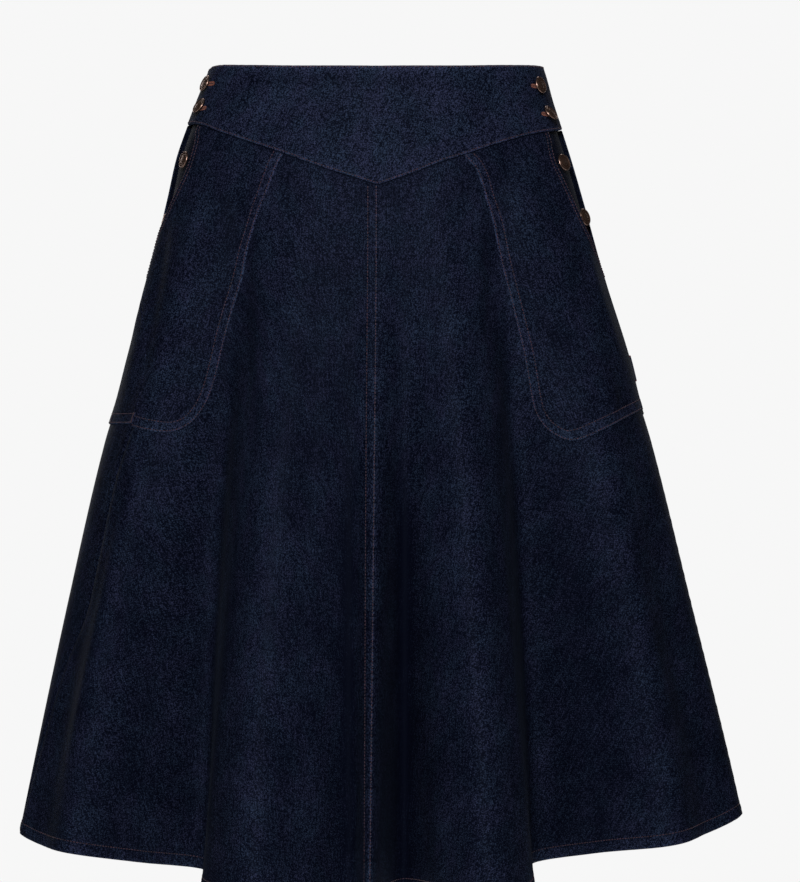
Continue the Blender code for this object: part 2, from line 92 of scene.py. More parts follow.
# Folds: each row is a line that runs down the cloth at the angle "at". It reaches the hem at
# (x, y, drop) in mm, and leaves the smooth form from the drop "from" on.
FOLDS = [
    # name                    at     x     y  drop  from
    ("centre front ridge",     0,   -5, -180,  660,  150),
    ("left front valley",      7,   22, -104,  658,  110),
    ("left front rise",       12,   52, -165,  656,   90),
    ("left front crest",      17,   85, -200,  655,   90),
    ("left front shoulder",   23,  120, -160,  654,   80),
    ("left front wall",       28,  122, -110,  646,   75),
    ("left side valley",      34,  125,  -30,  645,   65),
    ("left side slope",       43,  172,  -56,  634,  100),
    ("left side crest",       53,  226,  -92,  625,  130),
    ("left side shoulder",    70,  265,  -50,  618,  200),
    ("left side",             90,  295,    0,  607,  150),
    ("back left shoulder",   104,  266,   58,  614,  200),
    ("back left valley",     120,  206,   98,  624,  150),
    ("back left rise",       134,  162,  148,  632,  150),
    ("back left crest",      147,  122,  194,  640,  150),
    ("back left slope",      158,   80,  182,  642,  150),
    ("back left dip",        169,   42,  158,  643,  150),
    ("centre back ridge",    180,    0,  172,  644,  150),
    ("back right dip",      -169,  -46,  161,  643,  150),
    ("back right slope",    -158,  -86,  185,  643,  150),
    ("back right crest",    -147, -130,  190,  642,  150),
    ("back right rise",     -134, -172,  140,  635,  150),
    ("back right valley",   -120, -212,   90,  629,  150),
    ("back right shoulder", -104, -262,   52,  625,  200),
    ("right side",           -90, -290,    0,  621,  150),
    ("right side shoulder",  -71, -270,  -48,  628,  180),
    ("right side crest",     -56, -238,  -92,  631,  120),
    ("right side slope",     -46, -190,  -57,  641,   90),
    ("right side valley",    -38, -140,  -30,  650,   60),
    ("right front wall",     -32, -137, -110,  651,   65),
    ("right front shoulder", -27, -134, -160,  653,   75),
    ("right front crest",    -21, -103, -204,  656,   90),
    ("right front slope",    -13,  -57, -178,  658,   95),
    ("right front valley",    -6,  -21, -142,  660,  110),
]

# Creases, softer than the folds: a line through (angle, drop in mm) points, how high the cloth stands
# there in mm (below 0: how deep it sinks) and how wide to each side, in mm.
CREASES = [
    # name                     height wide  line
    ("right pocket roll",          2.4,  13, (-62, 96), (-55, 150), (-52, 200), (-50.5, 250), (-49, 296)),
    ("right pocket diagonal",     -2.6,   9, (-54, 84), (-46, 102), (-40, 122), (-37.5, 150)),
    ("right hip hollow",          -2.4,  12, (-76, 110), (-71, 180), (-64, 285)),
    ("right hip roll",             1.2,   8, (-85, 140), (-83, 230)),
    ("right pocket side hollow",  -2.4,  10, (-37.5, 150), (-34.5, 190), (-32.5, 240), (-30, 310)),
    ("left pocket diagonal",      -2.6,   9, (49, 66), (42, 84), (35.5, 104), (31.8, 130)),
    ("left pocket side hollow",   -2.4,  10, (31.8, 130), (31, 160), (29.5, 200), (27.5, 250)),
    ("left pocket roll",           2.0,  13, (47, 96), (44, 140), (42, 190), (43, 230)),
    ("left pocket dent",          -1.6,  14, (62, 150), (56, 210), (52, 270)),
    ("left pocket corner roll",    1.4,  12, (58, 262), (66, 275)),
    ("left hip roll",              1.3,  11, (70, 120), (72, 250)),
    ("right flare ridge",          2.4,  11, (-56, 310), (-60, 446), (-64, 600)),
    ("right flare hollow",        -2.4,  20, (-49, 340), (-50, 480), (-52, 600)),
    ("right flare thread",         0.9,   7, (-43, 380), (-42, 500), (-41, 610)),
    ("left flare ridge",           2.0,  12, (50, 311), (56, 414), (61, 540)),
    ("left flare hollow",         -2.2,  18, (42, 350), (44, 470), (45, 580)),
    ("left flare edge",           -1.5,  14, (67, 430), (71, 540), (72, 600)),
    ("left flare thread",          0.8,   7, (56, 480), (57, 600)),
    ("centre crease, right",      -1.3,   5, (-4.2, 560), (-6.4, 645)),
    ("centre crease, left",       -1.3,   5, (8.0, 560), (10.0, 640)),
    ("right crest slack",         -0.9,   9, (-17, 150), (-14, 300), (-13, 480)),
    ("right crest fold",           1.0,   8, (-24, 220), (-22, 420), (-21.5, 620)),
    ("right crest ripple",        -0.7,   7, (-11, 330), (-10, 470)),
    ("left crest slack",          -0.9,   9, (11, 180), (12, 330), (12, 470)),
    ("left crest fold",            1.0,   8, (19, 250), (19, 420), (18.5, 620)),
    ("left crest ripple",         -0.6,   6, (23, 330), (22.5, 520)),
    ("below the point, right",    -0.9,  12, (-3, 118), (-13, 160)),
    ("below the point, left",     -0.9,  12, (5, 112), (16, 136)),
    ("waist roll",                 1.0,   5, (-84, 9), (-60, 13), (-38, 17), (-24, 20)),
    ("waist hollow",              -1.1,   5, (-80, 17), (-55, 24), (-36, 28)),
    ("yoke ripple, middle",        0.8,   6, (-6, 22), (3, 26), (11, 32)),
    ("yoke hollow, middle",       -0.9,   8, (-14, 38), (4, 44), (20, 37)),
    ("yoke slack, right",         -0.9,  10, (-46, 40), (-30, 54), (-16, 68)),
    ("yoke slack, left",          -0.9,  10, (20, 62), (34, 50), (52, 40)),
    ("yoke ripple, left",          0.8,   6, (34, 14), (52, 18), (66, 15)),
    ("yoke point roll",            0.8,   9, (-12, 86), (0, 92), (12, 84)),
    ("back waist roll",            0.9,   6, (124, 14), (150, 19), (176, 17)),
    ("back waist hollow",         -0.9,   7, (196, 24), (216, 28), (238, 22)),
    ("back yoke slack, left",     -0.8,  11, (128, 40), (146, 52), (166, 66)),
    ("back yoke slack, right",    -0.8,  11, (196, 66), (214, 50), (232, 40)),
    ("back left roll",             1.9,  13, (112, 110), (116, 210), (118, 300)),
    ("back left hollow",          -2.0,  12, (126, 100), (131, 200), (134, 300)),
    ("back left flare ridge",      1.8,  13, (112, 320), (109, 450), (106, 590)),
    ("back left flare hollow",    -2.0,  16, (122, 350), (121, 480), (120, 600)),
    ("back left crest fold",       0.9,   8, (150, 260), (152, 420), (152, 600)),
    ("back left ripple",          -0.9,   8, (163, 180), (165, 330), (168, 500)),
    ("back middle slack",         -0.8,  12, (176, 130), (184, 210), (179, 300)),
    ("back right roll",            1.8,  14, (246, 110), (243, 220), (242, 310)),
    ("back right hollow",         -2.1,  12, (232, 100), (228, 190), (226, 290)),
    ("back right flare ridge",     1.9,  12, (249, 320), (252, 450), (255, 590)),
    ("back right flare hollow",   -2.0,  17, (239, 350), (240, 480), (242, 600)),
    ("back right crest fold",      0.8,   8, (210, 240), (208, 400), (209, 590)),
    ("back right ripple",         -0.9,   8, (196, 200), (194, 350), (191, 520)),
]

# Painted shade in the hollows between the folds, where the folds shade one another, and painted light on
# the crests that face the light: how much (below 0: darker), how wide to each side in mm, and a line
# through (angle, drop in mm) points.
PAINTED_SHADING = [
    # name                     amount wide  line
    ("centre hollow, left",       -0.30,  10, (6.5, 250), (6.5, 450), (6.8, 690)),
    ("left of the centre, deep",  -0.50,   6, (6.8, 270), (6.8, 450), (7.0, 760)),
    ("centre hollow, right",      -0.22,   9, (-7, 120), (-7, 400), (-7, 690)),
    ("right of the centre, deep", -0.45,   5, (-6.3, 260), (-6.3, 450), (-6.3, 760)),
    ("right fold's shoulder",     -0.20,   8, (-28, 300), (-28, 450), (-27, 760)),
    ("right of the centre",       -0.12,  16, (-13, 90), (-14, 260), (-14, 430)),
    ("below the point",           -0.22,  12, (-10, 108), (0, 114), (10, 106)),
    ("left pocket diagonal",      -0.20,   9, (44, 76), (37, 100), (33, 130), (31, 160)),
    ("left flare",                -0.15,  22, (41, 230), (43, 420), (44, 690)),
    ("left flare, low",           -0.18,   9, (44, 490), (44, 690)),
    ("right pocket diagonal",     -0.24,   9, (-53, 96), (-46, 112), (-41, 136), (-38, 165)),
    ("right flare, low",          -0.10,  14, (-49, 440), (-49, 600)),
    ("right crest slack",         -0.10,   9, (-18, 170), (-18, 420)),
    ("below the waist",           -0.20,   4, (-58, 15), (-30, 18), (0, 20), (30, 19)),
    ("right pocket ridge",         0.20,  10, (-57, 70), (-56, 160), (-56, 300)),
    ("right crest",                0.14,   7, (-22, 280), (-22, 440), (-22, 640)),
    ("left pocket ridge",          0.16,  10, (70, 90), (70, 160), (69, 260)),
    ("left pocket, low",          -0.12,  12, (49, 180), (48, 300)),
    ("right pocket, inner side",  -0.16,   9, (-42, 110), (-39, 200), (-37, 290)),
]

# The lower half is darker.
LOW_DARKER, LOW_FROM, LOW_TO = 0.07, 340 * MM, 470 * MM

# Lines around the skirt, each first down the wearer's right side and then down the left side: the
# drop in mm at each angle from the centre front.
WAIST_EDGE = (
    [(0, 6.5), (25, 5.6), (50, 3.2), (70, 1.1), (76, 1.0), (82, 1.8), (87, 3.0), (90, 3.4), (93, 3.0),
     (98, 1.8), (105, 0.6), (130, 0), (180, 1)],
    [(0, 6.5), (25, 5.6), (50, 3.2), (75, 0.8), (90, 0), (130, 0), (180, 1)],
)
YOKE_SEAM = (
    [(0, 101.9), (7.3, 94.8), (16, 86.9), (27, 76), (43.7, 62.9), (55, 55.8), (65.5, 50.2),
     (77, 47.6), (90, 47.3), (104, 48.5), (120, 53.5), (140, 64), (160, 79), (180, 93)],
    [(0, 101.9), (6.3, 95.9), (11.4, 90.7), (18, 83.6), (25, 77.9), (37, 68.4), (54.7, 58.6),
     (66, 55.2), (78.3, 52.8), (90, 51.3), (104, 50.5), (120, 53), (140, 64), (160, 79), (180, 93)],
)

# The front panels' side edges, as angles: first the slanted mouth, then the side seam.
LEFT_EDGE = [(0, 65.5), (54, 65.5), (62, 65.3), (71, 63.8), (81, 63.1), (92, 64.6), (102, 66.3),
             (111.5, 68), (122, 70.2), (132, 72.5), (142, 75.8), (151, 80.3), (165, 86),
             (175, 89.5), (260, 90), (700, 90)]
RIGHT_EDGE = [(0, 69.3), (54, 69.3), (62.5, 67.1), (70.7, 66.1), (78.7, 66.2), (89, 67.6),
              (100, 70.5), (111, 73.9), (124, 78.9), (135, 84), (150, 88), (175, 88.5), (215, 72),
              (239, 67.2), (262, 64.7), (284, 64), (300, 64.6), (335, 67.3), (431, 68.4),
              (496, 77), (560, 81.5), (622, 86), (700, 88)]
MOUTH_FROM, MOUTH_TO = 50 * MM, 165 * MM
MOUTH_SEWN, MOUTH_OPEN = 170 * MM, 160 * MM  # between them the mouth's edge becomes a plain seam
MOUTH_BAR = 171 * MM  # where a bar holds its lower end
MOUTH_LIFT, MOUTH_REACH = (1.5 * MM, 3.5 * MM), 14 * MM  # the lift on the right and on the left

SEAM_GAP = 0.3 * MM
SEAM_SHUT = 0.02 * MM  # at the upright seams, which are pulled shut
PANEL_THICK = 1.2 * MM
HEM_TURN, HEM_EXTRA = 12 * MM, 1.0 * MM
HEM_BELLY, HEM_ROPE, HEM_DENT = 0.55 * MM, 0.38 * MM, 0.35 * MM  # the last: along its stitches
HEM_DEGREE = 5.0 * MM  # about the hem's length for one degree
LAP_WIDTH, LAP_PROUD = 8 * MM, 0.8 * MM
LAP_DENT, LAP_RIPPLE = 0.28 * MM, 0.22 * MM
LAP_ROWS, MOUTH_ROWS, HEM_ROW = (0.9 * MM, 7.5 * MM), (1.3 * MM, 4.9 * MM), 9.6 * MM  # of stitches
FOLD_BLEND = 0.16  # how softly a fold begins
LINE_FADE = 0.3  # the share of a soft line over which it begins and ends
COLUMN_STEP, ROW_STEP = 3.7 * MM, 4.4 * MM  # the cloth's mesh
COLUMNS_EVEN_AT = 580 * MM  # the drop at which its columns are a step apart
GRID_ROUNDS = 5  # in which a panel's angles and drops settle
FRONT_SPAN, BACK_SPAN = (2.5, 87), (90, 90)  # of the columns, in degrees: from where and how far


def through(table, column, at):
    """One column of a table against its first, on a curve without overshoot, level outside it."""
    xs, ys = (np.array([row[k] for row in table], float) for k in (0, column))
    width = np.diff(xs)
    slope = np.diff(ys) / width
    tangent = np.zeros(len(xs))
    same = slope[:-1] * slope[1:] > 0
    harmonic = 2 * slope[:-1] * slope[1:] / np.where(same, slope[:-1] + slope[1:], 1)
    tangent[1:-1] = np.where(same, harmonic, 0)
    tangent[0], tangent[-1] = slope[0], slope[-1]
    at = np.clip(np.asarray(at, float), xs[0], xs[-1])
    i = np.clip(np.searchsorted(xs, at, side="right") - 1, 0, len(xs) - 2)
    return hermite((at - xs[i]) / width[i], width[i], ys[i], ys[i + 1], tangent[i], tangent[i + 1])


def hermite(t, width, low, high, slope_low, slope_high):
    """A cubic from one value to the next with a slope at each; t runs from 0 to 1 over the width."""
    return (
        (1 + 2 * t) * (1 - t) ** 2 * low
        + t * (1 - t) ** 2 * width * slope_low
        + t * t * (3 - 2 * t) * high
        + t * t * (t - 1) * width * slope_high
    )


def soft_step(value, start, end):
    """0 before the start, 1 past the end, smooth between them."""
    t = np.clip((value - start) / (end - start), 0, 1)
    return t * t * (3 - 2 * t)


def bell(away, wide):
    """1 on a line, less and less to both sides of it."""
    return np.exp(-((away / wide) ** 2))


def fading(away, reach):
    """1 at an edge, less and less away from it."""
    return np.exp(-away / reach)


def arched(at, width):
    """A low arch over a width: 0 at both ends, 1 in the middle."""
    return np.sin(math.pi * np.clip(at / width, 0, 1))


def run_along(points, axis):
    """Each point's distance along the cloth from the first one of its column (0) or row (1)."""
    steps = np.linalg.norm(np.diff(points, axis=axis), axis=-1)
    return np.insert(np.cumsum(steps, axis=axis), 0, 0, axis=axis)


def form_radii(around, drop):
    """The half width and the depth of the smooth form on the side that the angle is on."""
    right, left, front, back = (through(FORM, k, drop / MM) * MM for k in (1, 2, 3, 4))
    turn = np.radians(around)
    return np.where(np.sin(turn) < 0, right, left), np.where(np.cos(turn) > 0, front, back)


def form_point(around, drop):
    """A point of the smooth form."""
    wide, deep = form_radii(around, drop)
    turn = np.radians(around)
    return np.stack([wide * np.sin(turn), -deep * np.cos(turn), -drop + 0 * turn], axis=-1)


def fold_lines():
    """The folds by angle, with three more at each end so that the ring closes."""
    rows = sorted(FOLDS, key=lambda row: row[1])
    at, x, y, drop, start = (np.array([row[k] for row in rows], float) for k in (1, 2, 3, 4, 5))
    plain = form_point(at, drop * MM)
    lines = (at, x * MM - plain[:, 0], y * MM - plain[:, 1], drop * MM, start * MM)
    turns = (360, 0, 0, 0, 0)
    return [np.concatenate([v[-3:] - t, v, v[:3] + t]) for v, t in zip(lines, turns)]


FOLD_AT, FOLD_X, FOLD_Y, HEM_DROP, FOLD_START = fold_lines()


def round_ring(around, value_at):
    """A smooth curve round the skirt through one value for each fold; value_at takes their numbers."""
    around = (around + 180) % 360 - 180
    i = np.clip(np.searchsorted(FOLD_AT, around, side="right") - 1, 1, len(FOLD_AT) - 3)
    before, low, high, after = (value_at(i + k) for k in (-1, 0, 1, 2))
    w0, w1, w2 = (FOLD_AT[i + k + 1] - FOLD_AT[i + k] for k in (-1, 0, 1))
    s0, s1, s2 = (low - before) / w0, (high - low) / w1, (after - high) / w2
    return hermite((around - FOLD_AT[i]) / w1, w1, low, high,
                   (s0 * w1 + s1 * w0) / (w0 + w1), (s1 * w2 + s2 * w1) / (w1 + w2))


def hem_drop(around):
    """The drop of the hem at an angle."""
    return round_ring(np.asarray(around, float), lambda i: HEM_DROP[i])


def bare_point(around, drop):
    """The panels' face with its folds, before any crease."""
    around, drop = np.broadcast_arrays(np.asarray(around, float), np.asarray(drop, float))

    def grown(i):
        share = np.clip((drop - FOLD_START[i]) / (HEM_DROP[i] - FOLD_START[i]), 0, 1.05)
        return share * share / (share + FOLD_BLEND) * (1 + FOLD_BLEND)

    point = form_point(around, drop)
    point[..., 0] += round_ring(around, lambda i: FOLD_X[i] * grown(i))
    point[..., 1] += round_ring(around, lambda i: FOLD_Y[i] * grown(i))
    return point


def facing(point_at, around, drop):
    """The unit normal of a face, pointing away from the wearer."""
    turn, rise = 0.35, 1.5 * MM
    across = point_at(around + turn, drop) - point_at(around - turn, drop)
    along = point_at(around, drop - rise) - point_at(around, drop + rise)
    normal = np.cross(across, along)
    return normal / np.linalg.norm(normal, axis=-1, keepdims=True)


def along_lines(rows, around, drop):
    """The sum of a table's soft lines at a place: each fades out at its ends and to its sides."""
    total = np.zeros(np.broadcast(around, drop).shape)
    for _, amount, wide, *line in rows:
        middle = line[len(line) // 2]
        across, deep = form_radii(middle[0], middle[1] * MM)
        turn = math.radians(middle[0])
        degree = math.radians(math.hypot(across * math.cos(turn), deep * math.sin(turn)))
        way = [(a * degree, d * MM) for a, d in line]
        lengths = [math.dist(p, q) for p, q in zip(way, way[1:])]
        x = ((around - middle[0] + 180) % 360 - 180 + middle[0]) * degree
        nearest = np.full(total.shape, np.inf)
        share = np.zeros(total.shape)
        for k, (p, q) in enumerate(zip(way, way[1:])):
            step = (q[0] - p[0], q[1] - p[1])
            t = ((x - p[0]) * step[0] + (drop - p[1]) * step[1]) / lengths[k] ** 2
            t = np.clip(t, 0, 1)
            away = np.hypot(x - p[0] - t * step[0], drop - p[1] - t * step[1])
            closer = away < nearest
            nearest = np.where(closer, away, nearest)
            share = np.where(closer, (sum(lengths[:k]) + t * lengths[k]) / sum(lengths), share)
        fade = soft_step(np.minimum(share, 1 - share), 0, LINE_FADE)
        total += amount * fade * bell(nearest, wide * MM)
    return total


def crease_height(around, drop):
    """How far the creases move the cloth in or out, in metres."""
    return along_lines(CREASES, around, drop) * MM


def skirt_point(around, drop):
    """The panels' face with its folds and creases."""
    raised = crease_height(around, drop)
    return bare_point(around, drop) + facing(bare_point, around, drop) * raised[..., None]


def on_cloth(around, drop, off):
    """A point at a height off the panels' face, and the normal there."""
    around, drop = np.broadcast_arrays(np.asarray(around, float), np.asarray(drop, float))
    normal = facing(skirt_point, around, drop)
    return skirt_point(around, drop) + normal * np.asarray(off, float)[..., None], normal


def line_drop(line, around):
    """The drop of a line around the skirt, at an angle."""
    folded = (np.asarray(around, float) + 180) % 360 - 180
    right, left = (through(side, 1, np.abs(folded)) for side in line)
    return np.where(folded > 0, left, right) * MM


def side_edge(sign, drop):
    """The angle of a front panel's side edge."""
    return sign * through(RIGHT_EDGE if sign < 0 else LEFT_EDGE, 1, np.asarray(drop, float) / MM)


def mouth_lift(sign, around, drop):
    """How far the face stands off beside the slanted mouth."""
    edge = side_edge(sign, drop)
    wide, deep = form_radii(around, drop)
    a, b = np.radians(around), np.radians(edge)
    gap = np.hypot(wide * (np.sin(a) - np.sin(b)), deep * (np.cos(a) - np.cos(b)))
    lift = MOUTH_LIFT[sign > 0] * arched(drop - MOUTH_FROM, MOUTH_TO - MOUTH_FROM)
    return lift * bell(gap, MOUTH_REACH) * (np.abs(around) <= np.abs(edge) + 1)


def degree_length(around, drop):
    """The cloth's length for one degree, across."""
    return np.linalg.norm(bare_point(around + 0.5, drop) - bare_point(around - 0.5, drop), axis=-1)


def uneven(at, *waves):
    """A sum of sines of these lengths in mm: it wanders between about -1 and 1."""
    total = sum(np.sin(2 * math.pi * at / (wave * MM) + 1.7 * k + 0.6) for k, wave in enumerate(waves))
    return total / len(waves)


def rounded(away, radius):
    """How far a face draws in near an edge that is folded round, for a distance from it."""
    t = np.clip(away / radius, 0, 1)
    return radius * (1 - np.sqrt(1 - (1 - t) ** 2))


def unrolled(points):
    """The flat cut of a grid of points: lengths kept down the columns and across the top row."""
    across = np.linalg.norm(np.diff(points, axis=1), axis=2)
    below = run_along(points, 0)
    length = below[-1]
    lean = np.concatenate([[0], np.cumsum((across[-1] - across[0]) / ((length[1:] + length[:-1]) / 2))])
    middle = (lean[1:] + lean[:-1]) / 2
    top = np.concatenate([[[0, 0]], np.cumsum(across[0][:, None] * np.stack(
        [np.cos(middle), np.sin(middle)], axis=1), axis=0)])
    return top[None] + below[..., None] * np.stack([np.sin(lean), -np.cos(lean)], axis=1)[None]


def cloth_object(name, points, faces, flat, wear, finish):
    """A piece of cloth from its points, with its flat cut as UV map, and its wear with painted shade and
    light as an attribute.
    """
    mesh = bpy.data.meshes.new(name)
    mesh.from_pydata(points.tolist(), [], faces)
    mesh.materials.append(finish)
    corner = np.zeros(len(mesh.loops), np.int32)
    mesh.loops.foreach_get("vertex_index", corner)
    mesh.uv_layers.new(name="cut").data.foreach_set("uv", flat[corner].ravel())
    mesh.attributes.new("wear", "FLOAT", "POINT").data.foreach_set("value", wear)
    mesh.shade_smooth()
    mesh.set_sharp_from_angle(angle=math.radians(70))
    return placed(name, mesh)


def grid_faces(rows, columns):
    """The numbers of a grid's points, and its faces."""
    index = np.arange(rows * columns).reshape(rows, columns)
    quads = np.stack([index[:-1, :-1], index[:-1, 1:], index[1:, 1:], index[1:, :-1]], axis=-1)
    return index, quads.reshape(-1, 4)


def grid_cloth(name, outer, inner, wear, finish):
    """A closed wall of cloth between two grids of points."""
    index, quads = grid_faces(*outer.shape[:2])
    back = index.size
    rim = np.concatenate([index[0, :], index[1:, -1], index[-1, -2::-1], index[-2:0:-1, 0]])
    onward = np.roll(rim, -1)
    edge = np.stack([onward, rim, rim + back, onward + back], axis=1)
    faces = np.concatenate([quads, quads[:, ::-1] + back, edge])
    first = outer[0, 1] - outer[0, 0]
    outwards = np.cross(first, outer[0, 0] - outer[1, 0])
    if outwards @ (outer[0, 0] - inner[0, 0]) > 0:
        faces = faces[:, ::-1]
    points = np.concatenate([outer.reshape(-1, 3), inner.reshape(-1, 3)])
    flat = np.tile(unrolled(outer).reshape(-1, 2), (2, 1))
    return cloth_object(name, points, faces.tolist(), flat, np.tile(wear.ravel(), 2), finish)


class Strand:
    """A value on its way through a finish: sums, products and the like add Math nodes."""

    def __init__(self, finish, socket):
        self.finish, self.socket = finish, socket

    def math(self, operation, first, second):
        return self.finish.add("ShaderNodeMath", {"operation": operation}, {0: first, 1: second})

    def __add__(self, other):
        return self.math("ADD", self, other)

    def __sub__(self, other):
        return self.math("SUBTRACT", self, other)

    def __mul__(self, other):
        return self.math("MULTIPLY", self, other)

    def __rsub__(self, other):
        return self.math("SUBTRACT", other, self)

    __radd__, __rmul__ = __add__, __mul__

    def above(self, low, high):
        """0 below low, 1 above high, smooth between them."""
        return self.finish.add("ShaderNodeMapRange", {"interpolation_type": "SMOOTHSTEP"},
                               {"Value": self, "From Min": low, "From Max": high})


class Finish:
    """A material that is built up node by node."""

    def __init__(self, name, **plain):
        self.material = bpy.data.materials.new(name)
        self.material.use_nodes = True
        self.tree = self.material.node_tree
        self.shader = self.tree.nodes["Principled BSDF"]
        for socket, value in plain.items():
            self.shader.inputs[socket.replace("_", " ")].default_value = value

    def add(self, kind, settings, inputs, output=0):
        made = self.tree.nodes.new(kind)
        for name, value in settings.items():
            setattr(made, name, value)
        self.feed(made, inputs)
        return Strand(self, made.outputs[output])

    def feed(self, node, inputs):
        for socket, value in inputs.items():
            if isinstance(value, Strand):
                self.tree.links.new(value.socket, node.inputs[socket])
            else:
                node.inputs[socket].default_value = value

    def scaled(self, vector, scale, turn=0):
        return self.add("ShaderNodeMapping", {}, {"Vector": vector, "Scale": scale,
                                                  "Rotation": (0, 0, turn)})

    def noise(self, vector, detail):
        return self.add("ShaderNodeTexNoise", {}, {"Vector": vector, "Scale": 1, "Detail": detail})

    def cut(self):
        """Places on the flat cut, in metres."""
        return self.add("ShaderNodeUVMap", {"uv_map": "cut"}, {})

    def attribute(self, name):
        return self.add("ShaderNodeAttribute", {"attribute_name": name}, {}, 2)

    def bump(self, strength, distance, height):
        return self.add("ShaderNodeBump", {}, {"Strength": strength, "Distance": distance,
                                               "Height": height})

    def mixed(self, share, first, second):
        """One colour over another by a share from 0 to 1."""
        return self.add("ShaderNodeMix", {"data_type": "RGBA"}, {0: share, 6: first, 7: second}, 2)


def denim(name, dark, light, cast):
    """Indigo twill: dark warp over pale weft, with pale specks, a few slubs and worn edges, and the painted
    shade and light that the mesh attribute carries along with the wear.
    """
    cloth = Finish(name, Roughness=0.62, Specular_IOR_Level=0.03, Specular_Tint=(0.60, 0.74, 1, 1),
                   Sheen_Weight=0.008, Sheen_Roughness=0.4, Sheen_Tint=(0.56, 0.70, 1, 1))
    cut = cloth.cut()
    # Scales are in cells per metre of the cut: across it, and along the warp.
    cell = cloth.add("ShaderNodeVectorMath", {"operation": "FLOOR"},
                     {0: cloth.scaled(cut, (1500, 1250, 1), math.radians(24))})
    grain = cloth.add("ShaderNodeTexWhiteNoise", {"noise_dimensions": "2D"}, {"Vector": cell})
    speck = cloth.noise(cloth.scaled(cut, (1500, 1250, 1)), detail=1)
    slub = cloth.noise(cloth.scaled(cut, (1000, 55, 1)), detail=2)
    cross = cloth.noise(cloth.scaled(cut, (60, 900, 1)), detail=1)
    cloud = cloth.noise(cloth.scaled(cut, (30, 21, 1)), detail=3)
    tinge = cloth.noise(cloth.scaled(cut, (46, 38, 1)), detail=2)
    twill = cloth.add("ShaderNodeTexWave", {"wave_type": "BANDS", "bands_direction": "X"},
                      {"Vector": cloth.scaled(cut, (1, 1, 1), math.radians(62)), "Scale": 210,
                       "Distortion": 1.2, "Detail": 1}, 1)
    # The mesh attribute: worn paler edges, with painted shade in the hollows and painted light on the
    # crests of the folds.
    wear = cloth.attribute("wear")
    pale = grain * 0.84 + speck * 0.9 + slub * 0.74 + cross * 0.24 + twill * 0.10 + cloud * 0.5 - 1.44
    pale = pale + wear * (0.10 + grain * 0.65)
    weft = cloth.mixed(tinge.above(0.35, 0.65), light, cast)
    colour = cloth.mixed(pale.above(0, 1.25), dark, weft)
    bump = cloth.bump(0.3, 0.25 * MM, twill * 0.6 + speck * 0.7 + slub * 0.4)
    cloth.feed(cloth.shader, {"Base Color": colour, "Normal": bump})
    return cloth.material


DENIM = denim("indigo denim", dark=(0.0018, 0.0026, 0.0078, 1), light=(0.034, 0.053, 0.104, 1),
              cast=(0.040, 0.048, 0.106, 1))


def rows_between(top, bottom, start, end, count):
    """Drops from one line down to another for each column, closer together at both ends."""
    start, end = (np.array(steps)[:, None] * MM for steps in (start, end))
    share = (np.arange(1, count) / count)[:, None]
    between = top + start[-1] + (bottom - end[0] - top - start[-1]) * share
    return np.concatenate([top + start, between, bottom - end])


# Where the panels' first and last rows and first columns run, in mm from the edge.
PANEL_FIRST_ROWS = (0, 0.3, 0.8, 1.6, 3.0)
PANEL_LAST_ROWS = (14, 12.6, 11.6, 11, 10.4, 9.4, 8, 6.4, 4.8, 3.4, 2.2, 1.2, 0.5, 0.15, 0)
SEAM_STEPS = np.array([0, 0.12, 0.35, 0.7, 1.1, 1.5, 2.1, 3, 4, 5, 6, 6.8, 7.3, 7.8, 8.3, 9, 10.5, 13]) * MM


def panel_rows(around):
    """Drops from the yoke seam to the hem for each column of a panel."""
    top, bottom = line_drop(YOKE_SEAM, around[0]) + SEAM_GAP, hem_drop(around[-1])
    between = float(np.mean(bottom - top)) - (PANEL_FIRST_ROWS[-1] + PANEL_LAST_ROWS[0]) * MM
    return rows_between(top, bottom, PANEL_FIRST_ROWS, PANEL_LAST_ROWS, int(between / ROW_STEP))


def column_shares(sign, start, reach):
    """Where a panel's columns run, as shares of the degrees that it reaches across."""
    shares = [0.0]
    while shares[-1] < 1:
        degree = degree_length(sign * (start + reach * shares[-1]), COLUMNS_EVEN_AT)
        shares.append(shares[-1] + COLUMN_STEP / reach / float(degree))
    return np.array(shares) / shares[-1]


def front_grid(sign):
    """Angles and drops of a front panel's points: columns from the centre front to the side."""
    spread = column_shares(sign, *FRONT_SPAN)
    around = sign * np.linspace(0, 88, len(SEAM_STEPS) + len(spread) - 1)[None]
    for _ in range(GRID_ROUNDS):
        drop = panel_rows(around)
        near = sign * (SEAM_STEPS + SEAM_SHUT) / degree_length(sign, drop[:, :1])
        edge = side_edge(sign, drop) - sign * SEAM_SHUT / degree_length(sign * 90, drop)
        start = near[:, -1:]
        rest = start + (edge[:, len(SEAM_STEPS):] - start) * spread[1:]
        around = np.concatenate([near, rest], axis=1)
    return around, drop


def back_grid(sign):
    """Angles and drops of a back panel's points: columns from the side seam to the centre back."""
    spread = column_shares(sign, *BACK_SPAN)
    around = sign * (90 + 90 * spread)[None]
    for _ in range(GRID_ROUNDS):
        drop = panel_rows(around)
        seam = np.where(drop > MOUTH_TO, side_edge(sign, drop), sign * 90.0)
        gap = sign * SEAM_SHUT / degree_length(sign * 91, drop)
        start, end = seam + gap, sign * 180 - gap
        around = start + (end - start) * spread
    return around, drop


def along_rows(points):
    """Each point's distance from the first and from the last point of its row."""
    first = run_along(points, 1)
    return first, first[:, -1:] - first


def hem_form(around, drop):
    """The turned hem: how far it stands out, with the slanted ropes that twist it."""
    up = hem_drop(around) - drop
    belly = HEM_BELLY * arched(up, 11 * MM)
    slanted = around * HEM_DEGREE + up * 1.1
    rope = HEM_ROPE * uneven(slanted, 8.7, 12.9, 6.3) * soft_step(up, 10.5 * MM, 4 * MM)
    band = soft_step(up, HEM_TURN + 1.5 * MM, HEM_TURN - 1.5 * MM)
    return (belly + rope) * band - HEM_DENT * bell(up - HEM_ROW, 0.7 * MM) - rounded(up, 1.1 * MM)


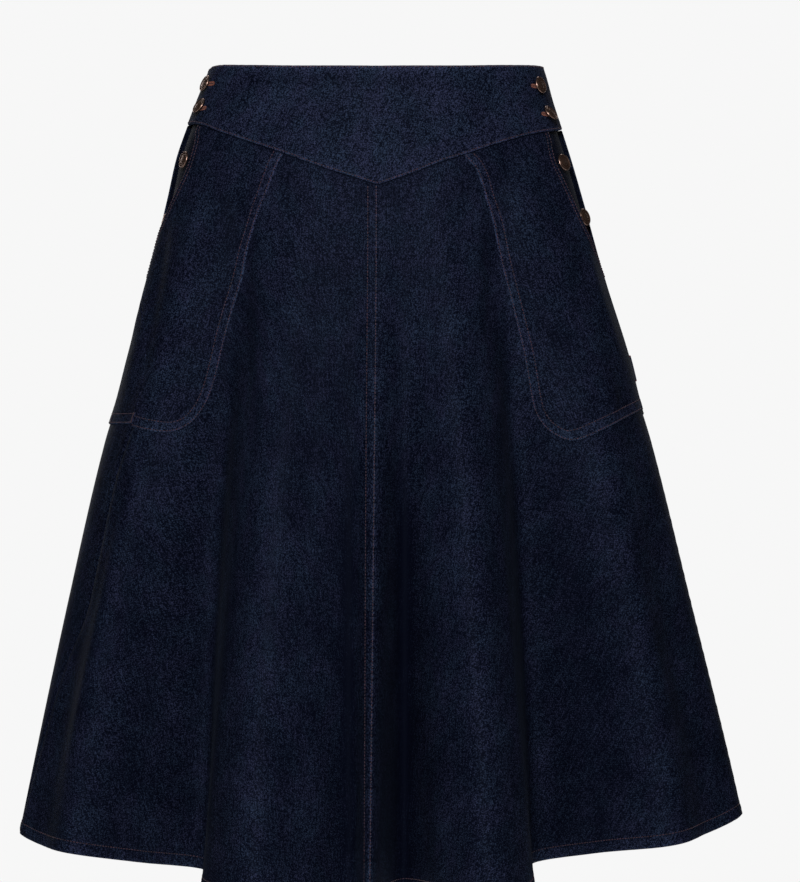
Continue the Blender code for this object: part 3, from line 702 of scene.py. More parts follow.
def lap_form(away, along):
    """The felled seam: raised, drawn in along its two rows of stitches and rippled between them."""
    proud = LAP_PROUD * soft_step(away, LAP_WIDTH + 0.9 * MM, LAP_WIDTH - 0.1 * MM)
    dents = LAP_DENT * sum(bell(away - row, 0.5 * MM) for row in LAP_ROWS)
    ripple = LAP_RIPPLE * uneven(along, 9.1, 6.7, 15.3) * arched(away, 9 * MM)
    return proud - dents + ripple - rounded(away, 0.8 * MM)


def seam_form(away, along, height, *waves):
    """A plain seam: the cloth turned in under it lifts it, and its stitches pucker it."""
    return height * soft_step(away, 12 * MM, 9 * MM) * (1 + 0.5 * uneven(along, *waves))


def panel(name, around, drop, off, lift, wear):
    """A panel from its angles and drops, with the hem, worn as all panels are, and with a painted shadow
    under the yoke seam.
    """
    up = hem_drop(around) - drop
    outer, _ = on_cloth(around, drop, off + hem_form(around, drop) + lift)
    turned = HEM_EXTRA * soft_step(up, HEM_TURN + 0.5 * MM, HEM_TURN - 0.2 * MM)
    inner, _ = on_cloth(around, drop, lift - PANEL_THICK - turned)
    wear = wear + 0.6 * fading(up, 1.0 * MM) + 0.16 * soft_step(up, HEM_ROW, HEM_ROW - 3 * MM)
    # Painted shadow: a thin dark line just below the yoke seam, where the yoke's edge shades the panel; and
    # darker in the lower half.
    wear -= 0.7 * fading(drop - drop[0], 0.5 * MM) + LOW_DARKER * soft_step(drop, LOW_FROM, LOW_TO)
    return grid_cloth(name, outer, inner, wear, DENIM)


def front_panel(name, sign):
    """A front panel; the wearer's right one (sign below 0) has the lap."""
    around, drop = front_grid(sign)
    bare = bare_point(around, drop)
    (centre, side), down = along_rows(bare), run_along(bare, 0)
    mouth = soft_step(drop, MOUTH_SEWN, MOUTH_OPEN)
    dents = 0.2 * MM * sum(bell(side - row, 0.6 * MM) for row in MOUTH_ROWS)
    off = (1 - mouth) * seam_form(side, down, 0.35 * MM, 11, 7.3) - mouth * dents - rounded(side, 0.9 * MM)
    # Painted shade in the fold hollows and painted light on the crests, with the worn edge of the mouth.
    wear = along_lines(PAINTED_SHADING, around, drop) + 0.5 * mouth * fading(side, 0.6 * MM)
    if sign < 0:
        off += lap_form(centre, down)
        wear += 0.9 * bell(centre, 0.9 * MM)
    else:
        off -= rounded(centre, 0.5 * MM)
    return panel(name, around, drop, off, mouth_lift(sign, around, drop), wear)


def back_panel(name, sign):
    """A back panel, plainly seamed at the side and down the middle."""
    around, drop = back_grid(sign)
    bare = bare_point(around, drop)
    side, centre = along_rows(bare)
    off = seam_form(centre, run_along(bare, 0), 0.3 * MM, 12, 7.9)
    off -= rounded(side, 0.9 * MM) + rounded(centre, 0.9 * MM)
    return panel(name, around, drop, off, lift=0, wear=0)


PANELS = [
    # node                 maker        sign  area
    ("front_panel_right", front_panel, -1, 0.191),
    ("front_panel_left",  front_panel,  1, 0.219),
    ("back_panel_right",  back_panel,  -1, 0.192),
    ("back_panel_left",   back_panel,   1, 0.173),
]
for node, maker, sign, area in PANELS:
    piece = maker("cloth_" + node, sign)
    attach(piece, "root")
    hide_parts(node)

# ================================================================ yokes
# Two shaped bands of double denim that run from the waist's edge to the yoke seam, with a point at
# the centre front. Both are edge stitched at the top and above the seam, and meet at the sides.
YOKE_PROUD, YOKE_THICK = 1.9 * MM, 2.7 * MM
YOKE_TOP_ROW, YOKE_LOW_ROW = 1.3 * MM, 1.4 * MM
YOKE_DENT, YOKE_RIPPLE, YOKE_TOP_RIPPLE = 0.25 * MM, 0.3 * MM, 0.22 * MM
YOKE_END = 89.99  # degrees to each side of its middle
YOKE_COLUMNS, YOKE_ROWS = 170, 17
YOKE_FIRST_ROWS = (0, 0.12, 0.35, 0.7, 1.2, 1.8, 2.4, 3.4)  # its first and last rows, in mm from the edge
YOKE_LAST_ROWS = (3.4, 2.6, 2.1, 1.7, 1.3, 0.9, 0.5, 0.2, 0.05, 0)


def yoke_form(under_edge, over_seam, from_end, along):
    """How far the yoke's face stands off the panels' face."""
    dents = bell(under_edge - YOKE_TOP_ROW, 0.55 * MM) + bell(over_seam - YOKE_LOW_ROW, 0.55 * MM)
    ripple = YOKE_RIPPLE * uneven(along, 8.9, 13.7, 6.1) * bell(over_seam, 9 * MM)
    ripple += YOKE_TOP_RIPPLE * uneven(along + 4 * MM, 10.3, 7.1) * bell(under_edge, 7 * MM)
    return (YOKE_PROUD - YOKE_DENT * dents + ripple - rounded(over_seam, 1.0 * MM)
            - rounded(under_edge, 1.2 * MM) - rounded(from_end, 0.4 * MM))


def yoke(name, middle):
    """One yoke, on both sides of the angle of its middle."""
    around = (middle + np.linspace(-YOKE_END, YOKE_END, YOKE_COLUMNS))[None]
    top, bottom = line_drop(WAIST_EDGE, around), line_drop(YOKE_SEAM, around)
    drop = rows_between(top, bottom, YOKE_FIRST_ROWS, YOKE_LAST_ROWS, YOKE_ROWS)
    around = np.repeat(around, len(drop), axis=0)
    first, last = along_rows(bare_point(around, drop))
    off = yoke_form(drop - top, bottom - drop, np.minimum(first, last), first)
    outer, _ = on_cloth(around, drop, off)
    inner, _ = on_cloth(around, drop, YOKE_PROUD - YOKE_THICK + rounded(drop - top, 0.8 * MM))
    # Painted light: paler all over, as it faces up to the light; worn paler at the waist's edge and along
    # the seam; painted shade and light along the fold lines.
    wear = 0.24 + 1.1 * fading(drop - top, 2.6 * MM) + 1.1 * bell(bottom - drop, 1.4 * MM)
    return grid_cloth(name, outer, inner, wear + along_lines(PAINTED_SHADING, around, drop), DENIM)


for node, middle, area in (("front_yoke", 0, 0.0263), ("back_yoke", 180, 0.0270)):
    piece = yoke("cloth_" + node, middle)
    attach(piece, "root")
    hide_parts(node)

# ================================================================ button stands
# A strip of denim under each slanted side opening, sewn in under the yoke. The lower buttons are
# fixed to it, and it shows where the opening's edge stands off.
STAND_DEPTH, STAND_THICK = 2.6 * MM, 1.2 * MM
STAND_RISE, STAND_TUCK = 0.3 * MM, 1.8 * MM  # its depth beside the back panel's edge, and under it
RISE_FROM, RISE_TO, TUCK_AT = 86.5, 89.3, 89.95  # angles
RISE_COLUMNS = (RISE_FROM, 87.2, 87.9, 88.6, RISE_TO, 89.5, TUCK_AT)
BACK_FROM, FRONT_COLUMNS, BACK_COLUMNS = 90.6, 16, 4
RISE_UNTIL, RISE_OUT = 120 * MM, 145 * MM  # drops between which it sinks back to its full depth
STAND_UNDER, STAND_UNDER_BACK, STAND_UNDER_YOKE = 12 * MM, 8.5 * MM, 4 * MM
STAND_TOP, STAND_END = 40 * MM, 185 * MM
STAND_ROWS, ROW_APART = 44, 1e-6  # the latter keeps rows apart that meet under the yoke
STAND_SHADE = -0.4  # painted shade: it lies in the shadow under the opening's edge


def button_stand(name, sign):
    """A strip that lies deep under the front panel's edge and rises to tuck in under the back panel."""
    drop = np.linspace(STAND_TOP, STAND_END, STAND_ROWS)[:, None]
    _, deep = form_radii(sign, drop)
    start = np.abs(side_edge(sign, drop)) - np.degrees(STAND_UNDER / deep)
    end = 90 + np.degrees(STAND_UNDER_BACK / deep)
    around = np.concatenate([
        start + (RISE_FROM - start) * np.linspace(0, 1, FRONT_COLUMNS)[:-1],
        np.tile(RISE_COLUMNS, (STAND_ROWS, 1)),
        BACK_FROM + (end - BACK_FROM) * np.linspace(0, 1, BACK_COLUMNS)], axis=1)
    seam = line_drop(YOKE_SEAM, around * sign)
    drop = np.maximum(drop, seam - STAND_UNDER_YOKE) + np.arange(STAND_ROWS)[:, None] * ROW_APART
    low = np.maximum(soft_step(drop, RISE_UNTIL, RISE_OUT), soft_step(drop, seam + 2.5 * MM, seam))
    rise, tuck = (depth + (STAND_DEPTH - depth) * low for depth in (STAND_RISE, STAND_TUCK))
    up = soft_step(around, RISE_FROM, RISE_TO)
    over = soft_step(around, RISE_TO, TUCK_AT)
    face = STAND_DEPTH + (rise - STAND_DEPTH) * up + (tuck - rise) * over
    back = STAND_DEPTH + (tuck - STAND_DEPTH) * up + STAND_THICK
    outer, _ = on_cloth(sign * around, drop, -face)
    inner, _ = on_cloth(sign * around, drop, -back)
    return grid_cloth(name, outer, inner, np.full(drop.shape, STAND_SHADE), DENIM)


for node, sign, area in (("button_stand_right", -1, 0.0065), ("button_stand_left", 1, 0.0075)):
    piece = button_stand("cloth_" + node, sign)
    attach(piece, "root")
    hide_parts(node)

# ================================================================ hip pockets
# Large patches from the yoke seam down, with a round inner corner, that go on round the side seam to
# the back. Their edges are turned in and double stitched, 7 mm apart, onto the panels.
POCKET_THICK = 1.2 * MM
POCKET_ROWS = (1.3 * MM, 8.2 * MM)
POCKET_DENT, POCKET_RIPPLE, POCKET_SEAM = 0.22 * MM, 0.24 * MM, 0.15 * MM
RINGS = (0.12, 0.4, 0.8, 1.3, 1.9, 2.8, 3.9, 4.9, 5.9, 7.2, 8.2, 9.2, 10.8)  # mm in from the edge
NET_ACROSS, NET_DOWN, NET_FROM = 3.6 * MM, 3.2 * MM, 12.4 * MM  # the mesh inside the rings
NET_CLEAR = 0.1 * MM  # no point lies nearer to the edge
PATH_STEP, EDGE_STEP = 1.5 * MM, 1.7 * MM  # between points of the edge, first as drawn, then as cut
EDGE_HAIR = 0.07  # degrees that a patch stays inside a side edge
HALVINGS = 26
FREE, SIDE = 0, 1  # parts of a patch's outline, of which the third is its top
POCKETS = [
    # node, sign, front or back, flat area, and the edge from the yoke down and out to the side, as
    # seen from the front or the back: distance from the middle and drop in mm
    ("front_pocket_right", -1, "front", 0.0218,
     [(62, 58), (76, 79), (82.7, 94.7), (88, 109), (93.5, 122), (98.8, 137), (103.5, 155),
      (108.3, 176.5), (114, 196), (119.8, 216), (125.8, 240), (130, 256), (136, 272), (144.7, 285.5),
      (154, 293.2), (167.5, 297.3), (186, 295.3), (200, 292), (240, 288)]),
    ("front_pocket_left", 1, "front", 0.0261,
     [(56, 60), (68.5, 78), (77.3, 88), (84.5, 106.5), (90.9, 128.5), (98, 162), (107.5, 198),
      (115.7, 231.5), (119.6, 252), (122.3, 268), (126.7, 283), (136, 295.5), (149, 303),
      (158, 303.6), (170, 299.8), (196, 287), (213, 279), (240, 267)]),
    ("back_pocket_right", -1, "back", 0.0388,
     [(56, 55), (68, 74), (84, 95), (93, 120), (100, 150), (109, 190), (118, 230), (127, 262),
      (136, 282), (147, 295), (160, 299), (182, 297), (197, 289.5), (214, 285), (240, 280)]),
    ("back_pocket_left", 1, "back", 0.0331,
     [(56, 55), (68, 74), (84, 95), (93, 120), (100, 150), (109, 190), (118, 230), (127, 262),
      (136, 282), (147, 295), (160, 299), (185, 295), (205, 286), (240, 275)]),
]


def rounded_path(points, steps=4):
    """A smooth line through points of a table, which it keeps."""
    points = np.array(points, float)
    ends = [2 * points[0] - points[1], *points, 2 * points[-1] - points[-2]]
    path = []
    for a, b, c, d in zip(ends, ends[1:], ends[2:], ends[3:]):
        for k in range(steps):
            t = k / steps
            path.append(0.5 * (2 * b + (c - a) * t + (2 * a - 5 * b + 4 * c - d) * t**2
                               + (3 * b - a - 3 * c + d) * t**3))
    return np.array(path + [points[-1]])


def evenly(path, step):
    """The path again, with points about a step apart."""
    length = run_along(path, 0)
    at = np.linspace(0, length[-1], max(2, int(round(length[-1] / step)) + 1))
    return np.stack([np.interp(at, length, path[:, k]) for k in range(path.shape[1])], axis=1)


def halved(low, high, is_short):
    """The place between low and high from which on a test is no longer met."""
    for _ in range(HALVINGS):
        middle = (low + high) / 2
        short = is_short(middle)
        low, high = np.where(short, middle, low), np.where(short, high, middle)
    return (low + high) / 2


class Patch:
    """A flat chart of one side of the skirt: arc length from the side seam, and drop."""

    def __init__(self, sign, where):
        self.sign, self.where = sign, where
        self.angles = np.linspace(0, 100, 201) if where == "front" else np.linspace(60, 180, 241)
        self.drops = np.linspace(30 * MM, 330 * MM, 31)
        grid = bare_point(sign * self.angles[None], self.drops[:, None])
        first, _ = along_rows(grid)
        self.arcs = first - first[:, [int(np.argmin(np.abs(self.angles - 90)))]]

    def across(self, around, drop):
        """The arc length at an angle, between those of the chart's grid."""
        i = np.clip((drop - self.drops[0]) / (self.drops[1] - self.drops[0]), 0, len(self.drops) - 1.001)
        j = (np.abs(around) - self.angles[0]) / (self.angles[1] - self.angles[0])
        j = np.clip(j, 0, len(self.angles) - 1.001)
        i0, j0 = i.astype(int), j.astype(int)
        fi, fj = i - i0, j - j0
        return ((self.arcs[i0, j0] * (1 - fj) + self.arcs[i0, j0 + 1] * fj) * (1 - fi)
                + (self.arcs[i0 + 1, j0] * (1 - fj) + self.arcs[i0 + 1, j0 + 1] * fj) * fi)

    def angle(self, across, drop):
        """The angle at an arc length."""
        first, last = (np.full(across.shape, self.angles[k]) for k in (0, -1))
        return self.sign * halved(first, last, lambda middle: self.across(middle, drop) < across)

    def edge(self, drop):
        """The angle of the side seam or of the mouth, a hair inside it."""
        if self.where == "front":
            return np.abs(side_edge(self.sign, drop)) - EDGE_HAIR
        return np.where(drop > MOUTH_TO, np.abs(side_edge(self.sign, drop)), 90.0) + EDGE_HAIR

    def outline(self, table):
        """The patch's edge in three parts, in the chart: its free edge, its side and its top."""
        path = evenly(rounded_path(table) * MM, PATH_STEP)
        x, drop = path[:, 0], path[:, 1]
        near, far = np.full(x.shape, 3.0 if self.where == "front" else 177.0), self.edge(drop)

        def from_middle(angle):
            return self.sign * bare_point(self.sign * angle, drop)[:, 0]

        def chart(angle, drop):
            return np.stack([self.across(angle, drop), drop], axis=1)

        angle = halved(near, far, lambda middle: from_middle(middle) < x)
        top = line_drop(YOKE_SEAM, self.sign * angle) + SEAM_GAP
        keep = (drop > top + 0.5 * MM) & (from_middle(far) > x)
        angle, below = angle[keep], drop[keep]
        last = below[-1]
        up = np.linspace(last, 0, 400)
        up = up[up > line_drop(YOKE_SEAM, self.sign * self.edge(up)) + SEAM_GAP]
        head = np.linspace(float(self.edge(up[-1])), angle[0], 200)
        over = chart(head, line_drop(YOKE_SEAM, self.sign * head) + SEAM_GAP)
        free = chart(np.append(angle, float(self.edge(last))), np.append(below, last))
        free = np.concatenate([over[-1:], free])
        side = np.concatenate([chart(self.edge(up), up), over[:1]])
        return [evenly(part, EDGE_STEP) for part in (free, side, over)]


def away_from(points, path):
    """Distance of points to a path, and how far along it the nearest place is."""
    p, q = path[:-1], path[1:]
    step = q - p
    size = (step ** 2).sum(axis=1)
    begin = np.concatenate([[0], np.cumsum(np.sqrt(size))[:-1]])
    nearest, along = np.full(len(points), np.inf), np.zeros(len(points))
    for k in range(len(p)):
        t = np.clip(((points - p[k]) @ step[k]) / size[k], 0, 1)
        away = np.linalg.norm(points - p[k] - t[:, None] * step[k], axis=1)
        closer = away < nearest
        nearest = np.where(closer, away, nearest)
        along = np.where(closer, begin[k] + t * math.sqrt(size[k]), along)
    return nearest, along


def inset(path, away, inwards):
    """A path beside another one, on the side of a point that lies inwards."""
    step = np.gradient(path, axis=0)
    normal = np.stack([-step[:, 1], step[:, 0]], axis=1)
    normal /= np.linalg.norm(normal, axis=1, keepdims=True)
    middle = len(path) // 2
    if (inwards - path[middle]) @ normal[middle] < 0:
        normal = -normal
    return path + normal * away


def closed_outline(parts):
    """The parts of a patch's outline as one path that ends where it began."""
    return np.concatenate([*(part[:-1] for part in parts), parts[0][:1]])


def pocket_points(parts):
    """The patch's points: its outline, rings near it, where seams are, and a net inside."""
    closed = closed_outline(parts)
    outline = closed[:-1]
    middle = outline.mean(axis=0)
    rings = [inset(part, away * MM, middle) for part in parts for away in RINGS]
    low, high = outline.min(axis=0), outline.max(axis=0)
    net_x, net_y = np.meshgrid(np.arange(low[0], high[0], NET_ACROSS), np.arange(low[1], high[1], NET_DOWN))
    net_x[1::2] += NET_ACROSS / 2
    net = np.stack([net_x.ravel(), net_y.ravel()], axis=1)
    inner = np.concatenate([*rings, net[away_from(net, closed)[0] > NET_FROM]])
    inner = inner[is_inside(inner, closed)]
    return outline, inner[away_from(inner, closed)[0] > NET_CLEAR]


def is_inside(points, closed):
    """Which points lie inside a closed path."""
    x, y = points[:, 0], points[:, 1]
    inside = np.zeros(len(points), bool)
    for (x0, y0), (x1, y1) in zip(closed, closed[1:]):
        crosses = (y0 > y) != (y1 > y)
        if y1 != y0:
            inside ^= crosses & (x < x0 + (y - y0) * (x1 - x0) / (y1 - y0))
    return inside


def pocket_form(patch, parts, chart):
    """How far a patch's face stands off the panel at points of its chart, and how worn and shaded it is."""
    (free, free_along), (side, side_along), (top, _) = (away_from(chart, part) for part in parts)
    mouth = soft_step(chart[:, 1], MOUTH_SEWN, MOUTH_OPEN) * (patch.where == "front")
    dents = sum(bell(free - row, 0.6 * MM) for row in POCKET_ROWS)
    dents += mouth * sum(bell(side - row, 0.6 * MM) for row in MOUTH_ROWS)
    ripple = arched(free, 9 * MM) * uneven(free_along, 7.9, 11.3, 5.7)
    ripple += 0.7 * mouth * arched(side, 6 * MM) * uneven(side_along, 8.3, 5.9)
    seam = (1 - mouth) * soft_step(side, 6 * MM, 3 * MM)
    off = (SEAM_GAP + POCKET_THICK - rounded(free, 1.1 * MM) - rounded(side, 1.1 * MM)
           - rounded(top, 0.9 * MM) - POCKET_DENT * dents + POCKET_RIPPLE * ripple + POCKET_SEAM * seam)
    band = soft_step(free, 8.8 * MM, 8.2 * MM) * (0.22 + 0.2 * uneven(free_along, 5.7, 8.3, 3.9))
    wear = 1.1 * bell(free, 1.5 * MM) + band
    # Worn paler along the mouth's edge; painted shadow along the top, under the yoke's edge.
    wear += mouth * 0.6 * fading(side, 0.45 * MM) - 0.7 * fading(top, 0.5 * MM)
    return np.maximum(off, SEAM_GAP / 2 + 0.05 * MM), wear


def pocket(name, sign, where, table):
    """One patch: a shell over the panel, drawn in at its edges and along its stitches."""
    patch = Patch(sign, where)
    parts = patch.outline(table)
    outline, inside = pocket_points(parts)
    coords = [Vector(p) for p in np.concatenate([outline, inside]) * 1000]
    border = [(k, (k + 1) % len(outline)) for k in range(len(outline))]
    found = geometry.delaunay_2d_cdt(coords, border, [list(range(len(outline)))], 1, 1e-5)
    chart = np.array([tuple(v) for v in found[0]]) / 1000
    faces = [list(face) for face in found[2]]
    around, drop = patch.angle(chart[:, 0], chart[:, 1]), chart[:, 1]
    off, wear = pocket_form(patch, parts, chart)
    # Painted shade in the fold hollows and painted light on the crests.
    wear += along_lines(PAINTED_SHADING, around, drop)
    lift = mouth_lift(sign, around, drop) if where == "front" else 0.0
    outer, _ = on_cloth(around, drop, off + lift)
    inner, _ = on_cloth(around, drop, np.full(drop.shape, SEAM_GAP / 2) + lift)
    count = len(chart)
    sides = {(a, b): None for face in faces for a, b in zip(face, face[1:] + face[:1])}
    rim = [[b, a, a + count, b + count] for a, b in sides if (b, a) not in sides]
    walls = faces + [[k + count for k in reversed(face)] for face in faces] + rim
    a, b, c = (outer[k] for k in faces[0][:3])
    if np.cross(b - a, c - a) @ (outer[faces[0][0]] - inner[faces[0][0]]) < 0:
        walls = [list(reversed(face)) for face in walls]
    flat = chart * (sign, -1)
    return cloth_object(name, np.concatenate([outer, inner]), walls, np.tile(flat, (2, 1)),
                        np.tile(wear, 2), DENIM), patch, parts


SEWN_POCKETS = {}
for node, sign, where, area, table in POCKETS:
    piece, *SEWN_POCKETS[node] = pocket("cloth_" + node, sign, where, table)
    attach(piece, "root")
    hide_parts(node)

# ================================================================ stitching
# Heavy rust-red sewing thread in lockstitches of 2.6 mm: two rows down the centre front, round the
# pockets and down the slanted openings, one at both edges of the yokes, rubbed paler at the waist, and
# one above the hem. Short bars of close threads hold the pockets where they are pulled.
STITCH_PITCH, STITCH_LENGTH, STITCH_RADIUS = 2.6 * MM, 2.1 * MM, 0.40 * MM
SATIN_PITCH, SATIN_LENGTH, SATIN_RADIUS = 0.46 * MM, 1.9 * MM, 0.26 * MM
THREAD_OUT = 0.35  # how far a thread's middle stands off the cloth, in its radii
STITCH_CLEAR = 0.9 * MM  # no row runs nearer to a patch's edge
LAP_POINTS_APART, YOKE_POINTS, HEM_POINTS = 2.0 * MM, 360, 792
LAP_AT_HEM = -4.2  # the angle of the lap's inner edge there
OUT_OF_REACH = 20 * MM  # so far from an edge that it doesn't show
BAR_THREADS = {FREE: 12, SIDE: 10}
THREAD_COLOURS = ((0.017, 0.006, 0.012, 1), (0.060, 0.022, 0.040, 1))
FADED_COLOURS = ((0.036, 0.015, 0.023, 1), (0.13, 0.058, 0.075, 1))
BRIGHT_COLOURS = ((0.11, 0.028, 0.017, 1), (0.24, 0.078, 0.048, 1))


def thread_finish(name, colours):
    """Twisted cotton thread: each stitch a little darker or more faded than the next."""
    thread = Finish(name, Roughness=0.62, Specular_IOR_Level=0.3, Sheen_Weight=0.15)
    thread.feed(thread.shader, {"Base Color": thread.mixed(thread.attribute("shade"), *colours)})
    return thread.material


THREAD = thread_finish("rust thread", THREAD_COLOURS)
BRIGHT_THREAD = thread_finish("bright rust thread", BRIGHT_COLOURS)
FADED_THREAD = thread_finish("faded rust thread", FADED_COLOURS)


def sewing_tree():
    """Rows of stitches: one short thread at each step along a row, laid the way the row says."""
    tree = bpy.data.node_groups.new("sewn rows", "GeometryNodeTree")
    sockets = {}
    for name, kind, way in (("Rows", "Geometry", "INPUT"), ("Sewn", "Geometry", "OUTPUT"),
                            ("Pitch", "Float", "INPUT"), ("Length", "Float", "INPUT"),
                            ("Radius", "Float", "INPUT"), ("Lean", "Float", "INPUT"),
                            ("Seed", "Int", "INPUT"), ("Thread", "Material", "INPUT")):
        made = tree.interface.new_socket(name, in_out=way, socket_type="NodeSocket" + kind)
        sockets[name] = made.identifier

    def node(kind, inputs=(), **settings):
        made = tree.nodes.new(kind)
        for name, value in settings.items():
            setattr(made, name, value)
        for socket, value in dict(inputs).items():
            if isinstance(value, bpy.types.NodeSocket):
                tree.links.new(value, made.inputs[socket])
            else:
                made.inputs[socket].default_value = value
        return made

    given = node("NodeGroupInput").outputs
    curve = node("GeometryNodeMeshToCurve", {"Mesh": given["Rows"]}).outputs[0]
    steps = node("GeometryNodeResampleCurve", {"Curve": curve, "Length": given["Pitch"]}, mode="LENGTH")
    ways = [node("GeometryNodeInputNamedAttribute", {"Name": name}, data_type="FLOAT_VECTOR").outputs[0]
            for name in ("thread", "outward")]
    turn = node("FunctionNodeAxesToRotation", {"Primary Axis": ways[1], "Secondary Axis": ways[0]},
                primary_axis="Z", secondary_axis="X").outputs[0]
    slack = node("ShaderNodeMath", {0: given["Lean"], 1: -1.0}, operation="MULTIPLY").outputs[0]
    lean = node("FunctionNodeRandomValue", {2: slack, 3: given["Lean"], "Seed": given["Seed"]})
    swing = node("ShaderNodeCombineXYZ", {"Z": lean.outputs[1]}).outputs[0]
    turn = node("FunctionNodeRotateRotation", {"Rotation": turn, "Rotate By": swing},
                rotation_space="LOCAL").outputs[0]
    bead = node("GeometryNodeMeshUVSphere", {"Segments": 6, "Rings": 4, "Radius": 1.0}).outputs["Mesh"]
    half = node("ShaderNodeMath", {0: given["Length"], 1: 0.5}, operation="MULTIPLY").outputs[0]
    size = node("ShaderNodeCombineXYZ", {"X": half, "Y": given["Radius"], "Z": given["Radius"]})
    bead = node("GeometryNodeTransform", {"Geometry": bead, "Scale": size.outputs[0]}).outputs[0]
    laid = node("GeometryNodeInstanceOnPoints", {"Points": steps.outputs[0], "Instance": bead,
                                                 "Rotation": turn}).outputs[0]
    shade = node("FunctionNodeRandomValue", {2: 0.0, 3: 1.0, "Seed": given["Seed"]}).outputs[1]
    laid = node("GeometryNodeStoreNamedAttribute", {"Geometry": laid, "Name": "shade", "Value": shade},
                data_type="FLOAT", domain="INSTANCE").outputs[0]
    real = node("GeometryNodeRealizeInstances", {"Geometry": laid}).outputs[0]
    done = node("GeometryNodeSetMaterial", {"Geometry": real, "Material": given["Thread"]}).outputs[0]
    node("NodeGroupOutput", {"Sewn": done})
    return tree, sockets


SEWING, SEWING_SOCKETS = sewing_tree()


def row_on(points, normal, across=False):
    """A row to sew through points on a face: where it goes, how its threads lie and what is out."""
    step = np.gradient(points, axis=0)
    step /= np.linalg.norm(step, axis=1, keepdims=True)
    return points, np.cross(normal, step) if across else step, normal


def sewn(name, rows, pitch, length, radius, thread, seed, lean=0.09):
    """One piece of sewing from its rows."""
    starts = np.cumsum([0] + [len(points) for points, _, _ in rows])
    edges = [(k, k + 1) for a, b in zip(starts, starts[1:]) for k in range(a, b - 1)]
    points, way, normal = (np.concatenate([row[k] for row in rows]) for k in range(3))
    mesh = bpy.data.meshes.new(name + "_rows")
    mesh.from_pydata((points + normal * radius * THREAD_OUT).tolist(), edges, [])
    for attribute, value in (("thread", way), ("outward", normal)):
        mesh.attributes.new(attribute, "FLOAT_VECTOR", "POINT").data.foreach_set("vector", value.ravel())
    made = placed(name, mesh)
    modifier = made.modifiers.new("sewing", "NODES")
    modifier.node_group = SEWING
    for socket, value in (("Pitch", pitch), ("Length", length), ("Radius", radius), ("Lean", lean),
                          ("Seed", seed), ("Thread", thread)):
        modifier[SEWING_SOCKETS[socket]] = value
    graph = bpy.context.evaluated_depsgraph_get()
    result = bpy.data.meshes.new_from_object(made.evaluated_get(graph), depsgraph=graph)
    made.modifiers.remove(modifier)
    made.data = result
    result.name = name
    for attribute in ("thread", "outward"):
        if attribute in result.attributes:
            result.attributes.remove(result.attributes[attribute])
    result.shade_smooth()
    return made


def centre_rows():
    """Down the lap, beside the centre front edge of the wearer's right panel."""
    start, end = float(line_drop(YOKE_SEAM, 0)) + 2 * MM, float(hem_drop(0)) - 1 * MM
    drop = np.arange(start, end, LAP_POINTS_APART)
    rows = []
    for away in LAP_ROWS:
        around = -away / degree_length(-1, drop)
        down = run_along(bare_point(around, drop), 0)
        off = lap_form(np.full(len(drop), away), down) + hem_form(around, drop)
        rows.append(row_on(*on_cloth(around, drop, off)))
    return rows


def chart_row(node, path, down_to=math.inf, across=False):
    """A row along a path in a patch's chart, where it is on the patch and above a drop."""
    patch, parts = SEWN_POCKETS[node]
    closed = closed_outline(parts)
    inside = is_inside(path, closed) & (away_from(path, closed)[0] > STITCH_CLEAR)
    path = path[inside & (path[:, 1] < down_to)]
    around = patch.angle(path[:, 0], path[:, 1])
    off, _ = pocket_form(patch, parts, path)
    if patch.where == "front":
        off = off + mouth_lift(patch.sign, around, path[:, 1])
    return row_on(*on_cloth(around, path[:, 1], off), across=across)


def beside(node, part, away):
    """A path along one part of a patch's outline, this far inside it."""
    _, parts = SEWN_POCKETS[node]
    return inset(parts[part], away, np.concatenate(parts).mean(axis=0))


def pocket_rows(node):
    """Both rows along a patch's free edge, and along the mouth where it has one."""
    rows = [chart_row(node, beside(node, FREE, away)) for away in POCKET_ROWS]
    if node.startswith("front"):
        rows += [chart_row(node, beside(node, SIDE, away), down_to=MOUTH_BAR) for away in MOUTH_ROWS]
    return rows


def bar(node, part, aways, short_of):
    """A bar of close threads from one path beside a part to another, where each is right in place."""
    start, end = (path[int(np.argmin(np.abs(short_of(path))))]
                  for path in (beside(node, part, away) for away in aways))
    share = np.linspace(0, 1, BAR_THREADS[part])[:, None]
    return chart_row(node, start + (end - start) * share, across=True)


def edge_bar(node, from_side):
    """A bar across the band of a patch's free edge, this far from its side."""
    _, parts = SEWN_POCKETS[node]
    aways = (POCKET_ROWS[0] - 0.2 * MM, POCKET_ROWS[1] + 0.6 * MM)
    return bar(node, FREE, aways, lambda path: away_from(path, parts[SIDE])[0] - from_side)


def mouth_bar(node):
    """The bar at the mouth's lower end, across its two rows."""
    aways = (MOUTH_ROWS[0] - 0.3 * MM, MOUTH_ROWS[1] + 0.5 * MM)
    return bar(node, SIDE, aways, lambda path: path[:, 1] - MOUTH_BAR)


def yoke_row(middle, at_top):
    """A row along the top or the lower edge of a yoke."""
    end = YOKE_END - 0.4
    line, row = (WAIST_EDGE, YOKE_TOP_ROW) if at_top else (YOKE_SEAM, -YOKE_LOW_ROW)
    around = middle + np.linspace(-end, end, YOKE_POINTS)
    drop = line_drop(line, around) + row
    under_edge, over_seam = (row, OUT_OF_REACH) if at_top else (OUT_OF_REACH, -row)
    off = yoke_form(under_edge, over_seam, OUT_OF_REACH, run_along(bare_point(around, drop), 0))
    return row_on(*on_cloth(around, drop, off))


def hem_row():
    """The row above the hem, raised where it crosses the lap."""
    around = np.linspace(-180, 180, HEM_POINTS)
    drop = hem_drop(around) - HEM_ROW
    over = LAP_PROUD * ((around < 0) & (around > LAP_AT_HEM))
    return row_on(*on_cloth(around, drop, hem_form(around, drop) + over))


